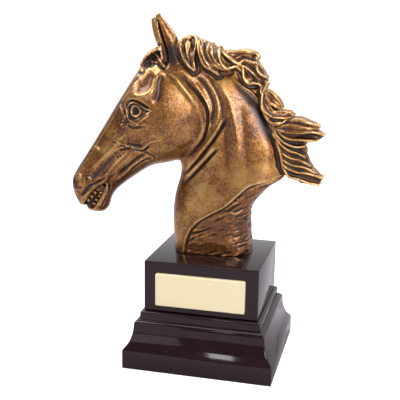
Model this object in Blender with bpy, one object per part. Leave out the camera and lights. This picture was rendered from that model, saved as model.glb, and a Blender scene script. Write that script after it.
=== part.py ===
"""Horse head trophy: a cast bust with a flying mane on a two-part lacquered plinth with a name plate.

Metres, +Z up, origin on the ground under the middle of the plinth. The horse looks towards -X, and the
plate faces -Y.
"""
import math

import bmesh
import bpy
import numpy as np
from mathutils import Vector
from mathutils.bvhtree import BVHTree

# The plinth's upper block.
BLOCK_WIDTH = 0.0762
BLOCK_DEPTH = 0.0706
BLOCK_HEIGHT = 0.0342
BLOCK_EDGE = 0.0008

# The moulded base under it: a slab with a soft ledge, a hollow slope and a step.
BASE_HEIGHT = 0.0380
BASE_PROJECTION = 0.0119
SLAB_HEIGHT = 0.0132
SLAB_LEDGE = 0.0032
SLAB_ROUND = 0.0010
FOOT_ROUND = 0.0010
SLOPE_HOLLOW = 0.0007
SLOPE_ROUND = 0.0034
STEP_HEIGHT = 0.0056
STEP_PROJECTION = 0.0023
STEP_ROUND = 0.0017
CORNER_ROUND = 0.0011

# The name plate on the block's front, a little below the middle.
PLATE_WIDTH = 0.0595
PLATE_HEIGHT = 0.0218
PLATE_THICKNESS = 0.0026
PLATE_EDGE = 0.0005
PLATE_DROP = 0.0014

# Pieces that touch keep this gap, the thickness of the glue.
GLUE_GAP = 0.0003

# The bust. It is drawn on a grid of its own, as shares of its height: u runs from the face to the mane,
# w away from the plate's side and v up.
FIGURE_HEIGHT = 0.1575
FIGURE_BACK = 0.004
GRID_HEIGHT = 157.5
GRID_FOOT = 72.5
GRID = FIGURE_HEIGHT / GRID_HEIGHT

# The head turns towards the plate's side, over this stretch of u.
TURN = math.radians(15)
TURN_FROM = 5.0
TURN_LENGTH = 50.0

# Fineness of the casting in grid units, the triangles that it keeps and the sides of its round forms.
ROUGHING = 1.6
FINISHING = 0.75
CAST_TRIANGLES = 8400
BODY_SIDES = 36
TUBE_SIDES = 14

# Arrises sharper than these stay crisp, on the casting and on the plinth.
CAST_ARRIS = math.radians(50)
PLINTH_ARRIS = math.radians(30)

# The head from the poll to the lips: the face line (u, v), the jaw line (u, v), half the width, how
# square the section is and how much wider it is at the face line.
HEAD = [
    (-18.0, 205.0, -2.0, 178.0, 15.0, 2.3, 0.00),
    (-34.0, 207.0, -3.0, 160.0, 19.0, 2.4, -0.02),
    (-46.0, 202.0, -9.0, 147.0, 21.0, 2.5, 0.00),
    (-53.6, 192.5, -20.0, 136.8, 22.0, 2.5, 0.02),
    (-60.6, 181.6, -31.5, 132.6, 21.5, 2.4, 0.04),
    (-67.8, 170.0, -43.5, 130.0, 18.8, 2.3, 0.02),
    (-75.0, 158.0, -53.5, 123.6, 16.0, 2.3, 0.00),
    (-82.2, 146.0, -61.0, 118.2, 13.8, 2.2, 0.02),
    (-89.2, 134.8, -67.8, 112.2, 12.8, 2.2, 0.08),
    (-95.0, 125.4, -70.8, 107.0, 12.8, 2.3, 0.16),
    (-97.6, 118.5, -72.4, 101.0, 12.0, 2.3, 0.22),
    (-96.0, 109.5, -76.8, 97.0, 10.0, 2.3, 0.15),
    (-93.0, 102.6, -83.5, 97.6, 6.5, 2.2, 0.00),
]

# The neck from the foot to the poll: the throat line, the crest line, then as above, with the last
# value for how much wider it is at the throat.
NECK = [
    (-26.5, 66.0, 28.0, 66.0, 18.6, 3.0, 0.05),
    (-27.0, 76.0, 28.0, 78.0, 18.8, 3.0, 0.05),
    (-28.0, 88.0, 27.2, 88.0, 18.8, 2.9, 0.05),
    (-28.3, 98.0, 26.6, 98.0, 18.4, 2.8, 0.05),
    (-27.6, 108.0, 29.5, 108.0, 17.8, 2.7, 0.04),
    (-25.6, 117.0, 38.0, 117.5, 17.2, 2.6, 0.04),
    (-23.6, 124.0, 48.0, 125.5, 16.6, 2.5, 0.06),
    (-23.4, 130.0, 47.5, 138.0, 16.4, 2.4, 0.08),
    (-23.8, 139.0, 44.5, 150.0, 16.2, 2.4, 0.10),
    (-24.5, 150.0, 38.5, 163.0, 15.8, 2.3, 0.12),
    (-26.0, 162.0, 32.0, 174.0, 15.2, 2.3, 0.12),
    (-28.0, 174.0, 24.0, 185.0, 14.6, 2.3, 0.12),
    (-30.0, 185.0, 14.0, 195.0, 13.8, 2.2, 0.10),
    (-31.0, 195.0, 3.0, 204.0, 12.8, 2.2, 0.06),
    (-29.0, 203.0, -9.0, 209.0, 10.5, 2.1, 0.00),
]

# The nearer ear: height, then the front and back edges in u, half the thickness and w of its middle.
EAR = [
    (194.0, -33.0, -19.0, 5.0, -9.0),
    (202.0, -35.0, -20.3, 5.6, -10.0),
    (210.0, -37.0, -22.6, 5.2, -11.0),
    (217.0, -38.8, -26.2, 4.4, -12.0),
    (223.0, -39.8, -30.8, 3.2, -12.6),
    (227.5, -40.2, -35.6, 1.9, -13.0),
    (229.8, -39.6, -38.2, 0.8, -13.0),
]
EAR_SLIT = [(-29.6, 14.6, 198.0), (-31.4, 15.5, 205.0), (-33.9, 15.9, 212.0), (-36.2, 15.6, 219.0),
            (-38.2, 14.2, 225.5)]
EAR_DEPTH = 4.2
FAR_EAR_LEAN = (-5.5, 0.0, -3.2)

# The crest under the mane, from the poll down: u, v, and the radius across and upright.
CREST = [
    (-22.0, 208.0, 6.0, 6.0),
    (-12.0, 208.0, 7.5, 6.2),
    (1.5, 203.6, 7.5, 5.6),
    (11.0, 197.6, 7.0, 5.2),
    (20.0, 188.0, 6.6, 5.0),
    (29.5, 174.5, 6.2, 5.0),
    (37.5, 159.5, 5.8, 4.8),
    (44.0, 146.0, 5.0, 4.4),
    (47.0, 132.0, 4.4, 3.5),
]

# Locks that lie on the neck: their lines (u, v) from the crest to the tip, half the width and height.
LOCKS = [
    ([(-20.5, 215.0), (-18.6, 208.0), (-16.0, 201.5), (-11.0, 195.0)], 4.0, 3.6),
    ([(-11.5, 214.0), (-9.5, 206.0), (-5.8, 199.8), (0.5, 196.4), (4.0, 192.5)], 2.9, 3.6),
    ([(-4.8, 212.0), (-3.4, 205.0), (1.5, 199.0), (8.5, 195.4)], 2.7, 3.4),
    ([(0.5, 210.0), (1.6, 203.6), (6.0, 198.6), (11.6, 197.4), (16.6, 196.4)], 2.6, 3.3),
    ([(5.0, 207.6), (9.5, 203.0), (15.4, 199.6), (18.6, 195.4), (20.6, 190.6)], 2.9, 3.2),
    ([(9.5, 204.5), (16.0, 200.0), (21.8, 195.2), (26.4, 190.6), (30.4, 184.8)], 3.0, 3.2),
    ([(17.0, 197.0), (20.5, 191.0), (24.6, 187.9), (29.0, 187.4), (32.6, 181.4)], 2.4, 2.6),
]

# Locks that fly free behind the neck: their lines (u, v, w), half the width and height.
FREE_LOCKS = [
    ([(4.0, 206.0, -2.0), (11.0, 204.8, -2.5), (18.0, 205.4, -2.0), (24.6, 203.8, -1.5)], 2.9, 4.0),
    ([(18.0, 200.5, -3.0), (24.6, 198.4, -3.0), (29.8, 192.6, -2.5), (32.2, 187.0, -2.5)], 2.6, 4.4),
    ([(28.0, 185.0, -3.6), (32.6, 180.4, -3.8), (38.0, 176.6, -3.4), (43.4, 172.4, -3.0)], 2.7, 4.4),
    ([(31.0, 182.4, -7.0), (33.0, 174.0, -7.5), (38.6, 169.0, -7.0), (46.0, 168.2, -5.0),
      (51.4, 168.6, -3.5)], 2.2, 4.2),
    ([(32.0, 175.4, -7.5), (35.6, 167.6, -8.0), (40.4, 163.8, -7.0), (47.0, 165.2, -5.0)], 2.0, 4.2),
    ([(35.0, 163.5, -4.4), (46.0, 164.5, -4.0), (57.0, 163.8, -3.2), (68.0, 160.8, -2.4)], 2.4, 4.2),
    ([(36.5, 160.5, -4.6), (47.0, 159.6, -4.2), (60.0, 158.4, -3.4), (72.4, 155.4, -2.4)], 2.6, 4.2),
    ([(37.5, 158.0, -4.8), (46.5, 154.4, -4.4), (57.0, 153.2, -3.6), (68.4, 152.8, -2.6)], 2.6, 4.2),
    ([(38.5, 156.5, -5.0), (45.0, 150.5, -4.6), (52.0, 148.0, -3.8), (61.0, 147.4, -2.8)], 2.7, 4.4),
    ([(40.5, 152.5, -5.0), (46.5, 145.4, -4.6), (53.0, 142.6, -3.8), (60.8, 142.4, -2.8)], 2.7, 4.4),
    ([(42.0, 147.5, -5.0), (47.5, 140.4, -4.6), (54.0, 137.8, -3.8), (62.0, 137.6, -2.8)], 2.7, 4.4),
    ([(43.5, 142.5, -5.0), (48.8, 136.0, -4.6), (57.0, 133.6, -3.8), (66.4, 132.2, -2.8)], 2.6, 4.4),
    ([(44.5, 138.0, -4.8), (50.0, 131.6, -4.4), (60.0, 129.4, -3.4), (72.6, 126.8, -2.4)], 2.7, 4.2),
    ([(45.5, 133.0, -4.4), (51.5, 127.8, -4.0), (61.0, 125.8, -3.0), (71.4, 124.0, -2.4)], 2.5, 4.0),
]

# The forelock between the ears, down the forehead.
FORELOCK = [
    ([(-30.0, 206.0, -3.5), (-38.5, 206.0, -5.0), (-45.0, 201.0, -6.5), (-50.4, 192.0, -7.5)], 2.4, 2.6),
    ([(-30.0, 207.0, 1.0), (-39.5, 207.0, 0.0), (-46.4, 201.6, -1.5), (-51.6, 192.4, -2.5)], 2.4, 2.6),
    ([(-30.0, 206.0, 6.0), (-38.5, 206.0, 6.0), (-45.0, 200.6, 5.0), (-50.4, 191.0, 4.0)], 2.4, 2.6),
]

# Folds of the skin on the side of the head and neck: a line (u, v), its width and how far it stands
# out (below zero, how deep it is cut).
FOLDS = [
    # Behind the jowl, then two creases of the throat.
    ([(-24.0, 196.0), (-10.7, 181.4), (-3.4, 168.0), (-4.4, 154.5), (-11.1, 145.0), (-20.5, 136.2)],
     1.5, -2.2),
    ([(-12.5, 194.0), (-4.4, 184.8), (0.8, 172.0), (-0.6, 160.4), (-5.5, 151.0)], 1.4, -1.2),
    ([(-15.5, 189.5), (-6.0, 179.5), (-0.8, 168.0), (-1.6, 158.0), (-7.0, 148.5)], 1.6, 0.9),
    ([(10.1, 165.9), (5.3, 155.7), (-0.9, 147.1), (-10.0, 136.6), (-21.5, 124.6)], 1.4, -1.5),
    ([(5.1, 145.3), (-5.3, 134.3), (-22.0, 117.6)], 1.4, -1.2),
    # The brow and the hollow behind it.
    ([(-58.8, 177.0), (-52.4, 177.6), (-45.7, 178.6), (-40.8, 185.0), (-36.5, 192.4), (-32.5, 195.0)],
     2.3, 1.9),
    ([(-34.8, 191.0), (-36.9, 183.6), (-37.2, 176.0), (-42.5, 171.6)], 2.1, -1.3),
    # The crease over the eye, the tear line and the fold under it.
    ([(-59.2, 171.8), (-55.2, 175.4), (-49.3, 174.2), (-43.2, 171.2)], 1.3, -1.4),
    ([(-57.8, 164.0), (-60.4, 161.0), (-63.6, 157.6)], 1.2, -1.0),
    ([(-58.1, 159.4), (-53.5, 157.8), (-48.6, 159.2)], 1.5, -0.7),
    # The eyelids.
    ([(-58.8, 164.6), (-58.8, 169.4), (-55.2, 172.4), (-49.6, 171.6), (-44.2, 169.2)], 0.9, 0.9),
    ([(-58.8, 164.8), (-55.4, 163.2), (-50.2, 164.6), (-44.2, 169.0)], 0.9, 0.8),
    # The cheek bone, forked towards the nose, with the hollows above and below.
    ([(-70.0, 151.0), (-64.0, 147.8), (-58.6, 145.4), (-50.5, 144.9), (-44.5, 148.4), (-37.0, 150.0)],
     1.5, 1.4),
    ([(-69.5, 149.6), (-63.7, 152.8), (-58.0, 156.0)], 1.5, 0.9),
    ([(-59.5, 148.8), (-52.7, 147.9), (-47.0, 149.4)], 1.6, -1.4),
    ([(-70.0, 136.8), (-64.0, 141.8), (-57.0, 143.2), (-49.0, 142.4)], 1.9, -1.3),
    # Along the lower jaw.
    ([(-42.0, 140.5), (-52.0, 136.8), (-63.0, 130.0), (-73.0, 122.6)], 1.9, 1.2),
    ([(-39.5, 137.0), (-51.1, 132.4), (-66.0, 123.4)], 1.7, -1.5),
    ([(-66.0, 137.0), (-74.0, 129.5), (-82.0, 122.0)], 2.6, 0.7),
    # The nose bone.
    ([(-56.0, 187.0), (-66.5, 169.0), (-77.5, 150.5), (-88.0, 132.0)], 1.6, -0.5),
    # The lips and the furrows beside them.
    ([(-89.6, 106.4), (-85.8, 112.4), (-80.6, 117.6), (-75.6, 120.8), (-72.4, 124.0)], 1.5, 1.1),
    ([(-74.6, 121.4), (-72.8, 117.0), (-74.0, 111.6), (-77.0, 106.4), (-81.6, 100.6)], 1.3, 0.9),
    ([(-71.2, 119.4), (-71.6, 113.6), (-74.4, 107.4), (-78.0, 101.4)], 1.2, -1.1),
    ([(-87.6, 114.6), (-82.0, 119.8), (-75.6, 123.6)], 1.5, -0.9),
    # Strata of the rough core under the skin's torn edge.
    ([(-12.0, 84.0), (0.0, 86.5), (12.0, 84.5), (24.0, 86.0)], 1.5, -1.2),
    ([(-14.0, 77.5), (-2.0, 79.5), (10.0, 77.0), (25.0, 79.0)], 1.3, -1.0),
    ([(-2.0, 93.0), (8.0, 94.5), (18.0, 91.5), (26.0, 93.0)], 1.4, -1.1),
    ([(8.0, 101.0), (16.0, 103.0), (25.0, 100.0)], 1.3, -1.1),
    ([(18.0, 109.5), (25.0, 111.5), (33.0, 114.5)], 1.3, -1.0),
    # The muscles of the neck.
    ([(12.0, 189.0), (19.0, 172.0), (24.0, 154.0), (24.0, 136.0)], 4.0, 0.9),
    ([(5.0, 187.0), (12.0, 168.0), (15.0, 148.0), (12.0, 126.0), (8.0, 106.0)], 4.5, -0.9),
    ([(-6.0, 160.0), (-1.0, 141.0), (-3.0, 122.0), (-8.0, 100.0)], 5.0, 0.7),
]

FOLD_DEPTH = 1.5

# Round forms pushed out or in on both sides of the head: middle (u, w, v), radius and height.
SWELLS = [
    ((-31.0, 21.0, 164.0), 17.0, 1.8),
    ((-51.5, 21.0, 175.0), 7.0, 1.8),
    ((-55.5, 15.0, 187.5), 6.0, -2.2),
    ((-40.0, 19.0, 197.0), 5.5, -1.4),
    ((-54.0, 21.5, 168.6), 4.6, -2.2),
    ((-53.4, 20.5, 168.4), 2.8, 1.9),
    ((-67.0, 15.0, 162.0), 7.0, -1.6),
    ((-91.5, 10.5, 117.5), 5.5, 1.6),
    ((-61.0, 14.0, 127.0), 6.0, -1.0),
    ((-97.0, 7.5, 118.4), 2.8, -4.4),
]

# The open mouth: a slot between the lips, and two rows of teeth in it.
MOUTH = [(-86.5, 104.6), (-81.6, 109.6), (-77.4, 115.2), (-75.6, 119.0)]
MOUTH_WIDTH = 2.6
MOUTH_DEPTH = 3.4
MOUTH_FRONT = [(-84.0, 9.0, 106.5), (-89.0, 6.0, 102.8), (-90.5, 0.0, 101.4)]
UPPER_TEETH = [(-88.6, 104.9), (-84.6, 109.9), (-78.4, 116.2)]
LOWER_TEETH = [(-83.4, 101.6), (-79.2, 107.0), (-76.0, 114.0)]
TEETH = 7
TOOTH = (1.3, 1.5, 1.5)

# The torn edge of the skin across the neck, with the rough core set back below it.
SKIN_EDGE = [(62.0, 121.5), (47.8, 127.4), (39.8, 124.2), (27.1, 121.5), (19.0, 114.3), (10.9, 106.5),
             (1.0, 100.9), (-8.1, 95.4), (-13.3, 90.2), (-16.5, 83.9), (-18.5, 76.0), (-20.0, 64.0)]
SKIN_THICKNESS = 1.5
SKIN_LIP = 0.6


# Curves
def spline(rows, steps):
    """A smooth curve through the rows, each a point or any set of sizes."""
    rows = np.array(rows, float)
    padded = np.vstack([2 * rows[0] - rows[1], rows, 2 * rows[-1] - rows[-2]])
    t = np.linspace(0, 1, steps, endpoint=False)[:, None]
    spans = []
    for a, b, c, d in zip(padded, padded[1:], padded[2:], padded[3:]):
        cubic = 3 * (b - c) + d - a
        square = 2 * a - 5 * b + 4 * c - d
        spans.append(b + 0.5 * t * (c - a + t * (square + t * cubic)))
    return np.vstack(spans + [rows[-1:]])


def nearest(points, line):
    """For each point: how far the line is, how far along it (0 to 1) and on which side."""
    best = np.full(len(points), np.inf)
    place = np.zeros(len(points))
    side = np.zeros(len(points))
    for index, (start, step) in enumerate(zip(line[:-1], np.diff(line, axis=0))):
        offset = points - start
        share = np.clip(offset @ step / (step @ step), 0, 1)
        gap = ((offset - share[:, None] * step) ** 2).sum(1)
        closer = gap < best
        best[closer] = gap[closer]
        place[closer] = (index + share[closer]) / (len(line) - 1)
        side[closer] = np.sign(step[0] * offset[closer, 1] - step[1] * offset[closer, 0])
    return np.sqrt(best), place, side


def smooth_step(value, low, high):
    """0 below low, 1 above high and an even slope between."""
    t = np.clip((value - low) / (high - low), 0, 1)
    return t * t * (3 - 2 * t)


def unit(vectors):
    return vectors / np.maximum(np.linalg.norm(vectors, axis=-1, keepdims=True), 1e-9)


# Meshes
def skin_rings(bm, rings):
    """A closed tube through the rings, each a row of points around it."""
    rings = np.concatenate([rings, rings[:, :1]], axis=1)
    grid = bmesh.ops.create_grid(bm, x_segments=rings.shape[1] - 1, y_segments=len(rings) - 1, size=1)
    for vert, place in zip(grid["verts"], rings.reshape(-1, 3)):
        vert.co = place
    bmesh.ops.remove_doubles(bm, verts=grid["verts"], dist=1e-6)
    bmesh.ops.holes_fill(bm, edges=[edge for edge in bm.edges if edge.is_boundary], sides=0)


def mesh_of(bm, name):
    """Turn the faces outwards and hand the mesh over."""
    bmesh.ops.recalc_face_normals(bm, faces=bm.faces)
    mesh = bpy.data.meshes.new(name)
    bm.to_mesh(mesh)
    bm.free()
    return mesh


def add_object(name, mesh, material):
    mesh.materials.clear()
    mesh.materials.append(material)
    obj = bpy.data.objects.new(name, mesh)
    bpy.context.scene.collection.objects.link(obj)
    return obj


def modified(mesh, *settings):
    """A new mesh: this one after the modifiers, each given as its kind and its values."""
    obj = bpy.data.objects.new("shaping", mesh)
    bpy.context.scene.collection.objects.link(obj)
    for kind, values in settings:
        modifier = obj.modifiers.new(kind.title(), kind)
        for key, value in values.items():
            setattr(modifier, key, value)
    graph = bpy.context.evaluated_depsgraph_get()
    result = bpy.data.meshes.new_from_object(obj.evaluated_get(graph))
    bpy.data.objects.remove(obj)
    return result


def remeshed(mesh, fineness, passes):
    """One even skin over all that the mesh holds, smoothed a little."""
    clay = ("REMESH", {"mode": "VOXEL", "voxel_size": fineness})
    return modified(mesh, clay, ("SMOOTH", {"factor": 0.5, "iterations": passes}))


def points_of(mesh):
    flat = np.empty(len(mesh.vertices) * 3, np.float32)
    mesh.vertices.foreach_get("co", flat)
    return flat.reshape(-1, 3).astype(float)


def normals_of(mesh):
    flat = np.empty(len(mesh.vertices) * 3, np.float32)
    mesh.vertex_normals.foreach_get("vector", flat)
    return flat.reshape(-1, 3).astype(float)


def place_points(mesh, points):
    mesh.vertices.foreach_set("co", points.astype(np.float32).ravel())
    mesh.update()


# The bust's masses
def section(top, bottom, half, square, flare, sides):
    """A rounded section between two points of the profile, wider at the top where flare is above zero."""
    turn = np.linspace(0, 2 * math.pi, sides, endpoint=False)
    along = np.sign(np.cos(turn)) * np.abs(np.cos(turn)) ** (2 / square)
    across = np.sign(np.sin(turn)) * np.abs(np.sin(turn)) ** (2 / square)
    centre = (top + bottom) / 2
    profile = centre + np.outer(along, (top - bottom) / 2)
    return np.column_stack([profile[:, 0], half * across * (1 + flare * along), profile[:, 1]])


def add_body(bm, stations):
    """A head or neck through its stations."""
    rows = spline(stations, 5)
    rings = [section(row[0:2], row[2:4], row[4], row[5], row[6], BODY_SIDES) for row in rows]
    skin_rings(bm, np.array(rings))


def add_ear(bm, lean=(0, 0, 0), mirror=1):
    rows = spline(EAR, 4)
    turn = np.linspace(0, 2 * math.pi, TUBE_SIDES, endpoint=False)
    rings = []
    for height, front, back, half, middle in rows:
        share = (height - rows[0][0]) / (rows[-1][0] - rows[0][0])
        u = (front + back) / 2 + (back - front) / 2 * np.cos(turn) + lean[0] * share
        w = mirror * (middle + half * np.sin(turn))
        rings.append(np.column_stack([u, w, np.full(TUBE_SIDES, height + lean[2] * share)]))
    skin_rings(bm, np.array(rings))


def add_tube(bm, centres, normals, widths, heights):
    """A tube of oval section along its centres, flat to the surface whose normals are given."""
    forward = unit(np.gradient(centres, axis=0))
    across = unit(np.cross(forward, normals))
    upward = np.cross(across, forward)
    turn = np.linspace(0, 2 * math.pi, TUBE_SIDES, endpoint=False)
    rings = (centres[:, None]
             + np.cos(turn)[None, :, None] * (widths[:, None] * across)[:, None]
             + np.sin(turn)[None, :, None] * (heights[:, None] * upward)[:, None])
    skin_rings(bm, rings)


def add_crest(bm):
    rows = spline(CREST, 5)
    centres = np.column_stack([rows[:, 0], np.zeros(len(rows)), rows[:, 1]])
    sideways = np.tile((0.0, -1.0, 0.0), (len(rows), 1))
    add_tube(bm, centres, sideways, rows[:, 3], rows[:, 2])


def taper(count, root=0.55, tip=0.22):
    """A lock's thickness along it: thin at the root, full at a third and pointed at the tip."""
    s = np.linspace(0, 1, count)
    return np.interp(s, [0, 0.3, 0.6, 0.85, 1], [root, 1, 0.95, 0.62, tip])


def draped(skin, line, side):
    """Where a line in the profile lies on the bust, seen from one side, and the surface's normals there."""
    w = np.full(len(line), np.nan)
    normals = np.tile((0.0, side, 0.0), (len(line), 1))
    for index, (u, v) in enumerate(line):
        place, normal, _, _ = skin.ray_cast(Vector((u, side * 60, v)), Vector((0, -side, 0)))
        if place is not None:
            w[index] = place.y
            normals[index] = normal
    known = np.flatnonzero(~np.isnan(w))
    w = np.interp(np.arange(len(w)), known, w[known])
    kernel = np.ones(5) / 5
    w = np.convolve(np.pad(w, 2, "edge"), kernel, "valid")
    normals = np.column_stack([np.convolve(np.pad(n, 2, "edge"), kernel, "valid") for n in normals.T])
    return np.column_stack([line[:, 0], w, line[:, 1]]), unit(normals)


def add_lock(bm, skin, line, width, height, side):
    centres, normals = draped(skin, spline(line, 5), side)
    size = taper(len(centres))
    lifted = centres + normals * (0.35 * height * size)[:, None]
    add_tube(bm, lifted, normals, width * size, height * size)


def add_free_lock(bm, line, width, height, side):
    centres = spline(line, 5)[:, [0, 2, 1]] * (1, -side, 1)
    size = np.interp(np.linspace(0, 1, len(centres)), [0, 0.3, 0.7, 1], [0.8, 1.0, 1.0, 0.85])
    size *= np.sqrt(1 - np.linspace(0, 0.97, len(centres)) ** 8)
    sideways = np.tile((0.0, side, 0.0), (len(centres), 1))
    add_tube(bm, centres, sideways, width * size, height * size)


def add_teeth(bm, line):
    """A row of teeth on each side of the mouth, following the lip."""
    row = spline(line, 8)
    at = np.linspace(0, len(row) - 1, TEETH).round().astype(int)
    for u, v in row[at]:
        for side in (-1, 1):
            tooth = bmesh.ops.create_uvsphere(bm, u_segments=8, v_segments=6, radius=1)
            bmesh.ops.scale(bm, verts=tooth["verts"], vec=TOOTH)
            bmesh.ops.translate(bm, verts=tooth["verts"], vec=(u, side * tooth_w(u), v))


def tooth_w(u):
    """How far from the middle the teeth stand: the jaws narrow towards the lips."""
    return float(np.interp(u, [-92, -76], [5.5, 9.2]))


# Carving
def press(points, normals, line, width, height):
    """How far a fold in the profile moves each point of the sides of the bust."""
    curve = spline(line, 6)
    reach = 3 * width
    flat = points[:, [0, 2]]
    near = ((flat > curve.min(0) - reach) & (flat < curve.max(0) + reach)).all(1)
    gap, place, _ = nearest(flat[near], curve)
    ends = smooth_step(np.minimum(place, 1 - place), -0.02, 0.16)
    facing = smooth_step(np.abs(normals[near, 1]), 0.15, 0.5)
    moved = np.zeros(len(points))
    moved[near] = height * ends * facing * np.exp(-((gap / width) ** 2))
    return moved


def swell(points, middle, radius, height):
    """How far a round form moves each point, on both sides of the head."""
    gap = np.linalg.norm(points * (1, 0, 1) + (0, 1, 0) * np.abs(points[:, 1:2]) - middle, axis=1)
    return height * np.exp(-((gap / radius) ** 2))


def carve_ears(points):
    """The hollow of each ear, open to the front and outwards."""
    share = np.clip((points[:, 2] - EAR[0][0]) / (EAR[-1][0] - EAR[0][0]), 0, 1)
    lean = np.where(points[:, 1] > 0, share, 0)[:, None] * FAR_EAR_LEAN
    mirrored = points * (1, 0, 1) + (0, 1, 0) * np.abs(points[:, 1:2]) - lean
    gap, place, _ = nearest(mirrored, spline(EAR_SLIT, 5))
    width = np.interp(place, [0, 0.35, 1], [1.8, 2.5, 1.2])
    return -EAR_DEPTH * smooth_step(place, -0.05, 0.2) * np.exp(-((gap / width) ** 4))


def carve_mouth(points, normals):
    """The slot between the lips: straight in from each side, and round the front."""
    gap, place, _ = nearest(points[:, [0, 2]], spline(MOUTH, 6))
    width = MOUTH_WIDTH * np.interp(place, [0, 0.5, 1], [1.1, 1.0, 0.5])
    side = smooth_step(np.abs(normals[:, 1]), 0.2, 0.6) * (1 - smooth_step(gap / width, 0.75, 1.25))
    mirrored = np.column_stack([points[:, 0], np.abs(points[:, 1]), points[:, 2]])
    gap, _, _ = nearest(mirrored, spline(MOUTH_FRONT, 5))
    front = np.exp(-((gap / 2.0) ** 2))
    return -MOUTH_DEPTH * np.maximum(side, 0.7 * front)


def carve_skin_edge(points):
    """Above the torn edge the skin has a lip, and below it the core lies deeper."""
    gap, _, side = nearest(points[:, [0, 2]], spline(SKIN_EDGE, 4))
    below = smooth_step(gap * side, -0.5, 0.5)
    return SKIN_LIP * np.exp(-((gap / 2.0) ** 2)) * (1 - below) - SKIN_THICKNESS * below


def turned(points):
    """The head's turn: the grid's points bent round the neck towards the plate's side."""
    radius = TURN_LENGTH / TURN
    run = np.maximum(TURN_FROM - points[:, 0], 0)
    bend = TURN * np.minimum(run, TURN_LENGTH) / TURN_LENGTH
    rest = np.maximum(run - TURN_LENGTH, 0)
    u = np.where(run > 0, TURN_FROM - radius * np.sin(bend) - rest * math.cos(TURN), points[:, 0])
    w = -radius * (1 - np.cos(bend)) - rest * math.sin(TURN)
    return np.column_stack([u - points[:, 1] * np.sin(bend), w + points[:, 1] * np.cos(bend), points[:, 2]])


def head_and_neck():
    """The bald head and neck, blended into one form."""
    bm = bmesh.new()
    add_body(bm, HEAD)
    add_body(bm, NECK)
    add_crest(bm)
    return remeshed(mesh_of(bm, "form"), ROUGHING, 6)


def with_ears_and_hair(form):
    skin = BVHTree.FromPolygons([v.co for v in form.vertices], [tuple(p.vertices) for p in form.polygons])
    bm = bmesh.new()
    add_ear(bm)
    add_ear(bm, FAR_EAR_LEAN, -1)
    for side in (-1, 1):
        for line, width, height in LOCKS:
            add_lock(bm, skin, line, width, height, side)
        for line, width, height in FREE_LOCKS:
            add_free_lock(bm, line, width, height, side)
    for line, width, height in FORELOCK:
        add_free_lock(bm, line, width, height, -1)
    bm.from_mesh(form)
    return remeshed(mesh_of(bm, "clay"), FINISHING, 1)


def carve(clay):
    """Move the skin out and in for the muscles, folds, ears, mouth and torn edge."""
    points, normals = points_of(clay), normals_of(clay)
    moved = sum(swell(points, *form) for form in SWELLS)
    moved += FOLD_DEPTH * sum(press(points, normals, *fold) for fold in FOLDS)
    moved += carve_ears(points)
    moved += carve_mouth(points, normals)
    moved += carve_skin_edge(points)
    place_points(clay, points + normals * moved[:, None])


def with_teeth(clay):
    bm = bmesh.new()
    for line in (UPPER_TEETH, LOWER_TEETH):
        add_teeth(bm, line)
    bm.from_mesh(clay)
    return remeshed(mesh_of(bm, "carved"), FINISHING, 0)


def cut_flat(mesh, foot):
    """Cut the neck off flat at its foot."""
    bm = bmesh.new()
    bm.from_mesh(mesh)
    everything = bm.verts[:] + bm.edges[:] + bm.faces[:]
    cut = bmesh.ops.bisect_plane(bm, geom=everything, dist=1e-7, plane_co=(0, 0, foot), plane_no=(0, 0, 1),
                                 clear_inner=True)
    rim = [edge for edge in cut["geom_cut"] if isinstance(edge, bmesh.types.BMEdge)]
    bmesh.ops.holes_fill(bm, edges=rim, sides=0)
    bmesh.ops.triangulate(bm, faces=[face for face in bm.faces if len(face.verts) > 3])
    return mesh_of(bm, "horse_head")


def smooth_shaded(mesh, arris):
    mesh.shade_smooth()
    mesh.set_sharp_from_angle(angle=arris)
    return mesh


def bust_mesh():
    clay = with_ears_and_hair(head_and_neck())
    carve(clay)
    clay = with_teeth(clay)

    # The grid's foot lands on the block, behind the middle by FIGURE_BACK.
    foot = BASE_HEIGHT + BLOCK_HEIGHT + 2 * GLUE_GAP
    points = turned(points_of(clay)) + (0, 0, -GRID_FOOT)
    place_points(clay, points * GRID + (0, FIGURE_BACK, foot))

    share = CAST_TRIANGLES / (2 * len(clay.polygons))
    clay = modified(clay, ("TRIANGULATE", {}), ("DECIMATE", {"ratio": share}))
    return smooth_shaded(cut_flat(clay, foot), CAST_ARRIS)


# The plinth
def rounded_rectangle(width, depth, radius, height, steps=3):
    """The corners of a rectangle with round corners, at one height."""
    points = []
    for quarter in range(4):
        for step in range(steps + 1):
            angle = math.pi / 2 * (quarter + step / steps)
            x = math.copysign(width / 2 - radius, math.cos(math.pi / 4 + quarter * math.pi / 2))
            y = math.copysign(depth / 2 - radius, math.sin(math.pi / 4 + quarter * math.pi / 2))
            points.append((x + radius * math.cos(angle), y + radius * math.sin(angle), height))
    return points


def arc(centre, radius, start, end, steps=4):
    """Points on an arc of the moulding's profile, from one angle to another in degrees."""
    angles = [math.radians(start + (end - start) * step / steps) for step in range(steps + 1)]
    return [(centre[0] + radius * math.cos(a), centre[1] + radius * math.sin(a)) for a in angles]


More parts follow.
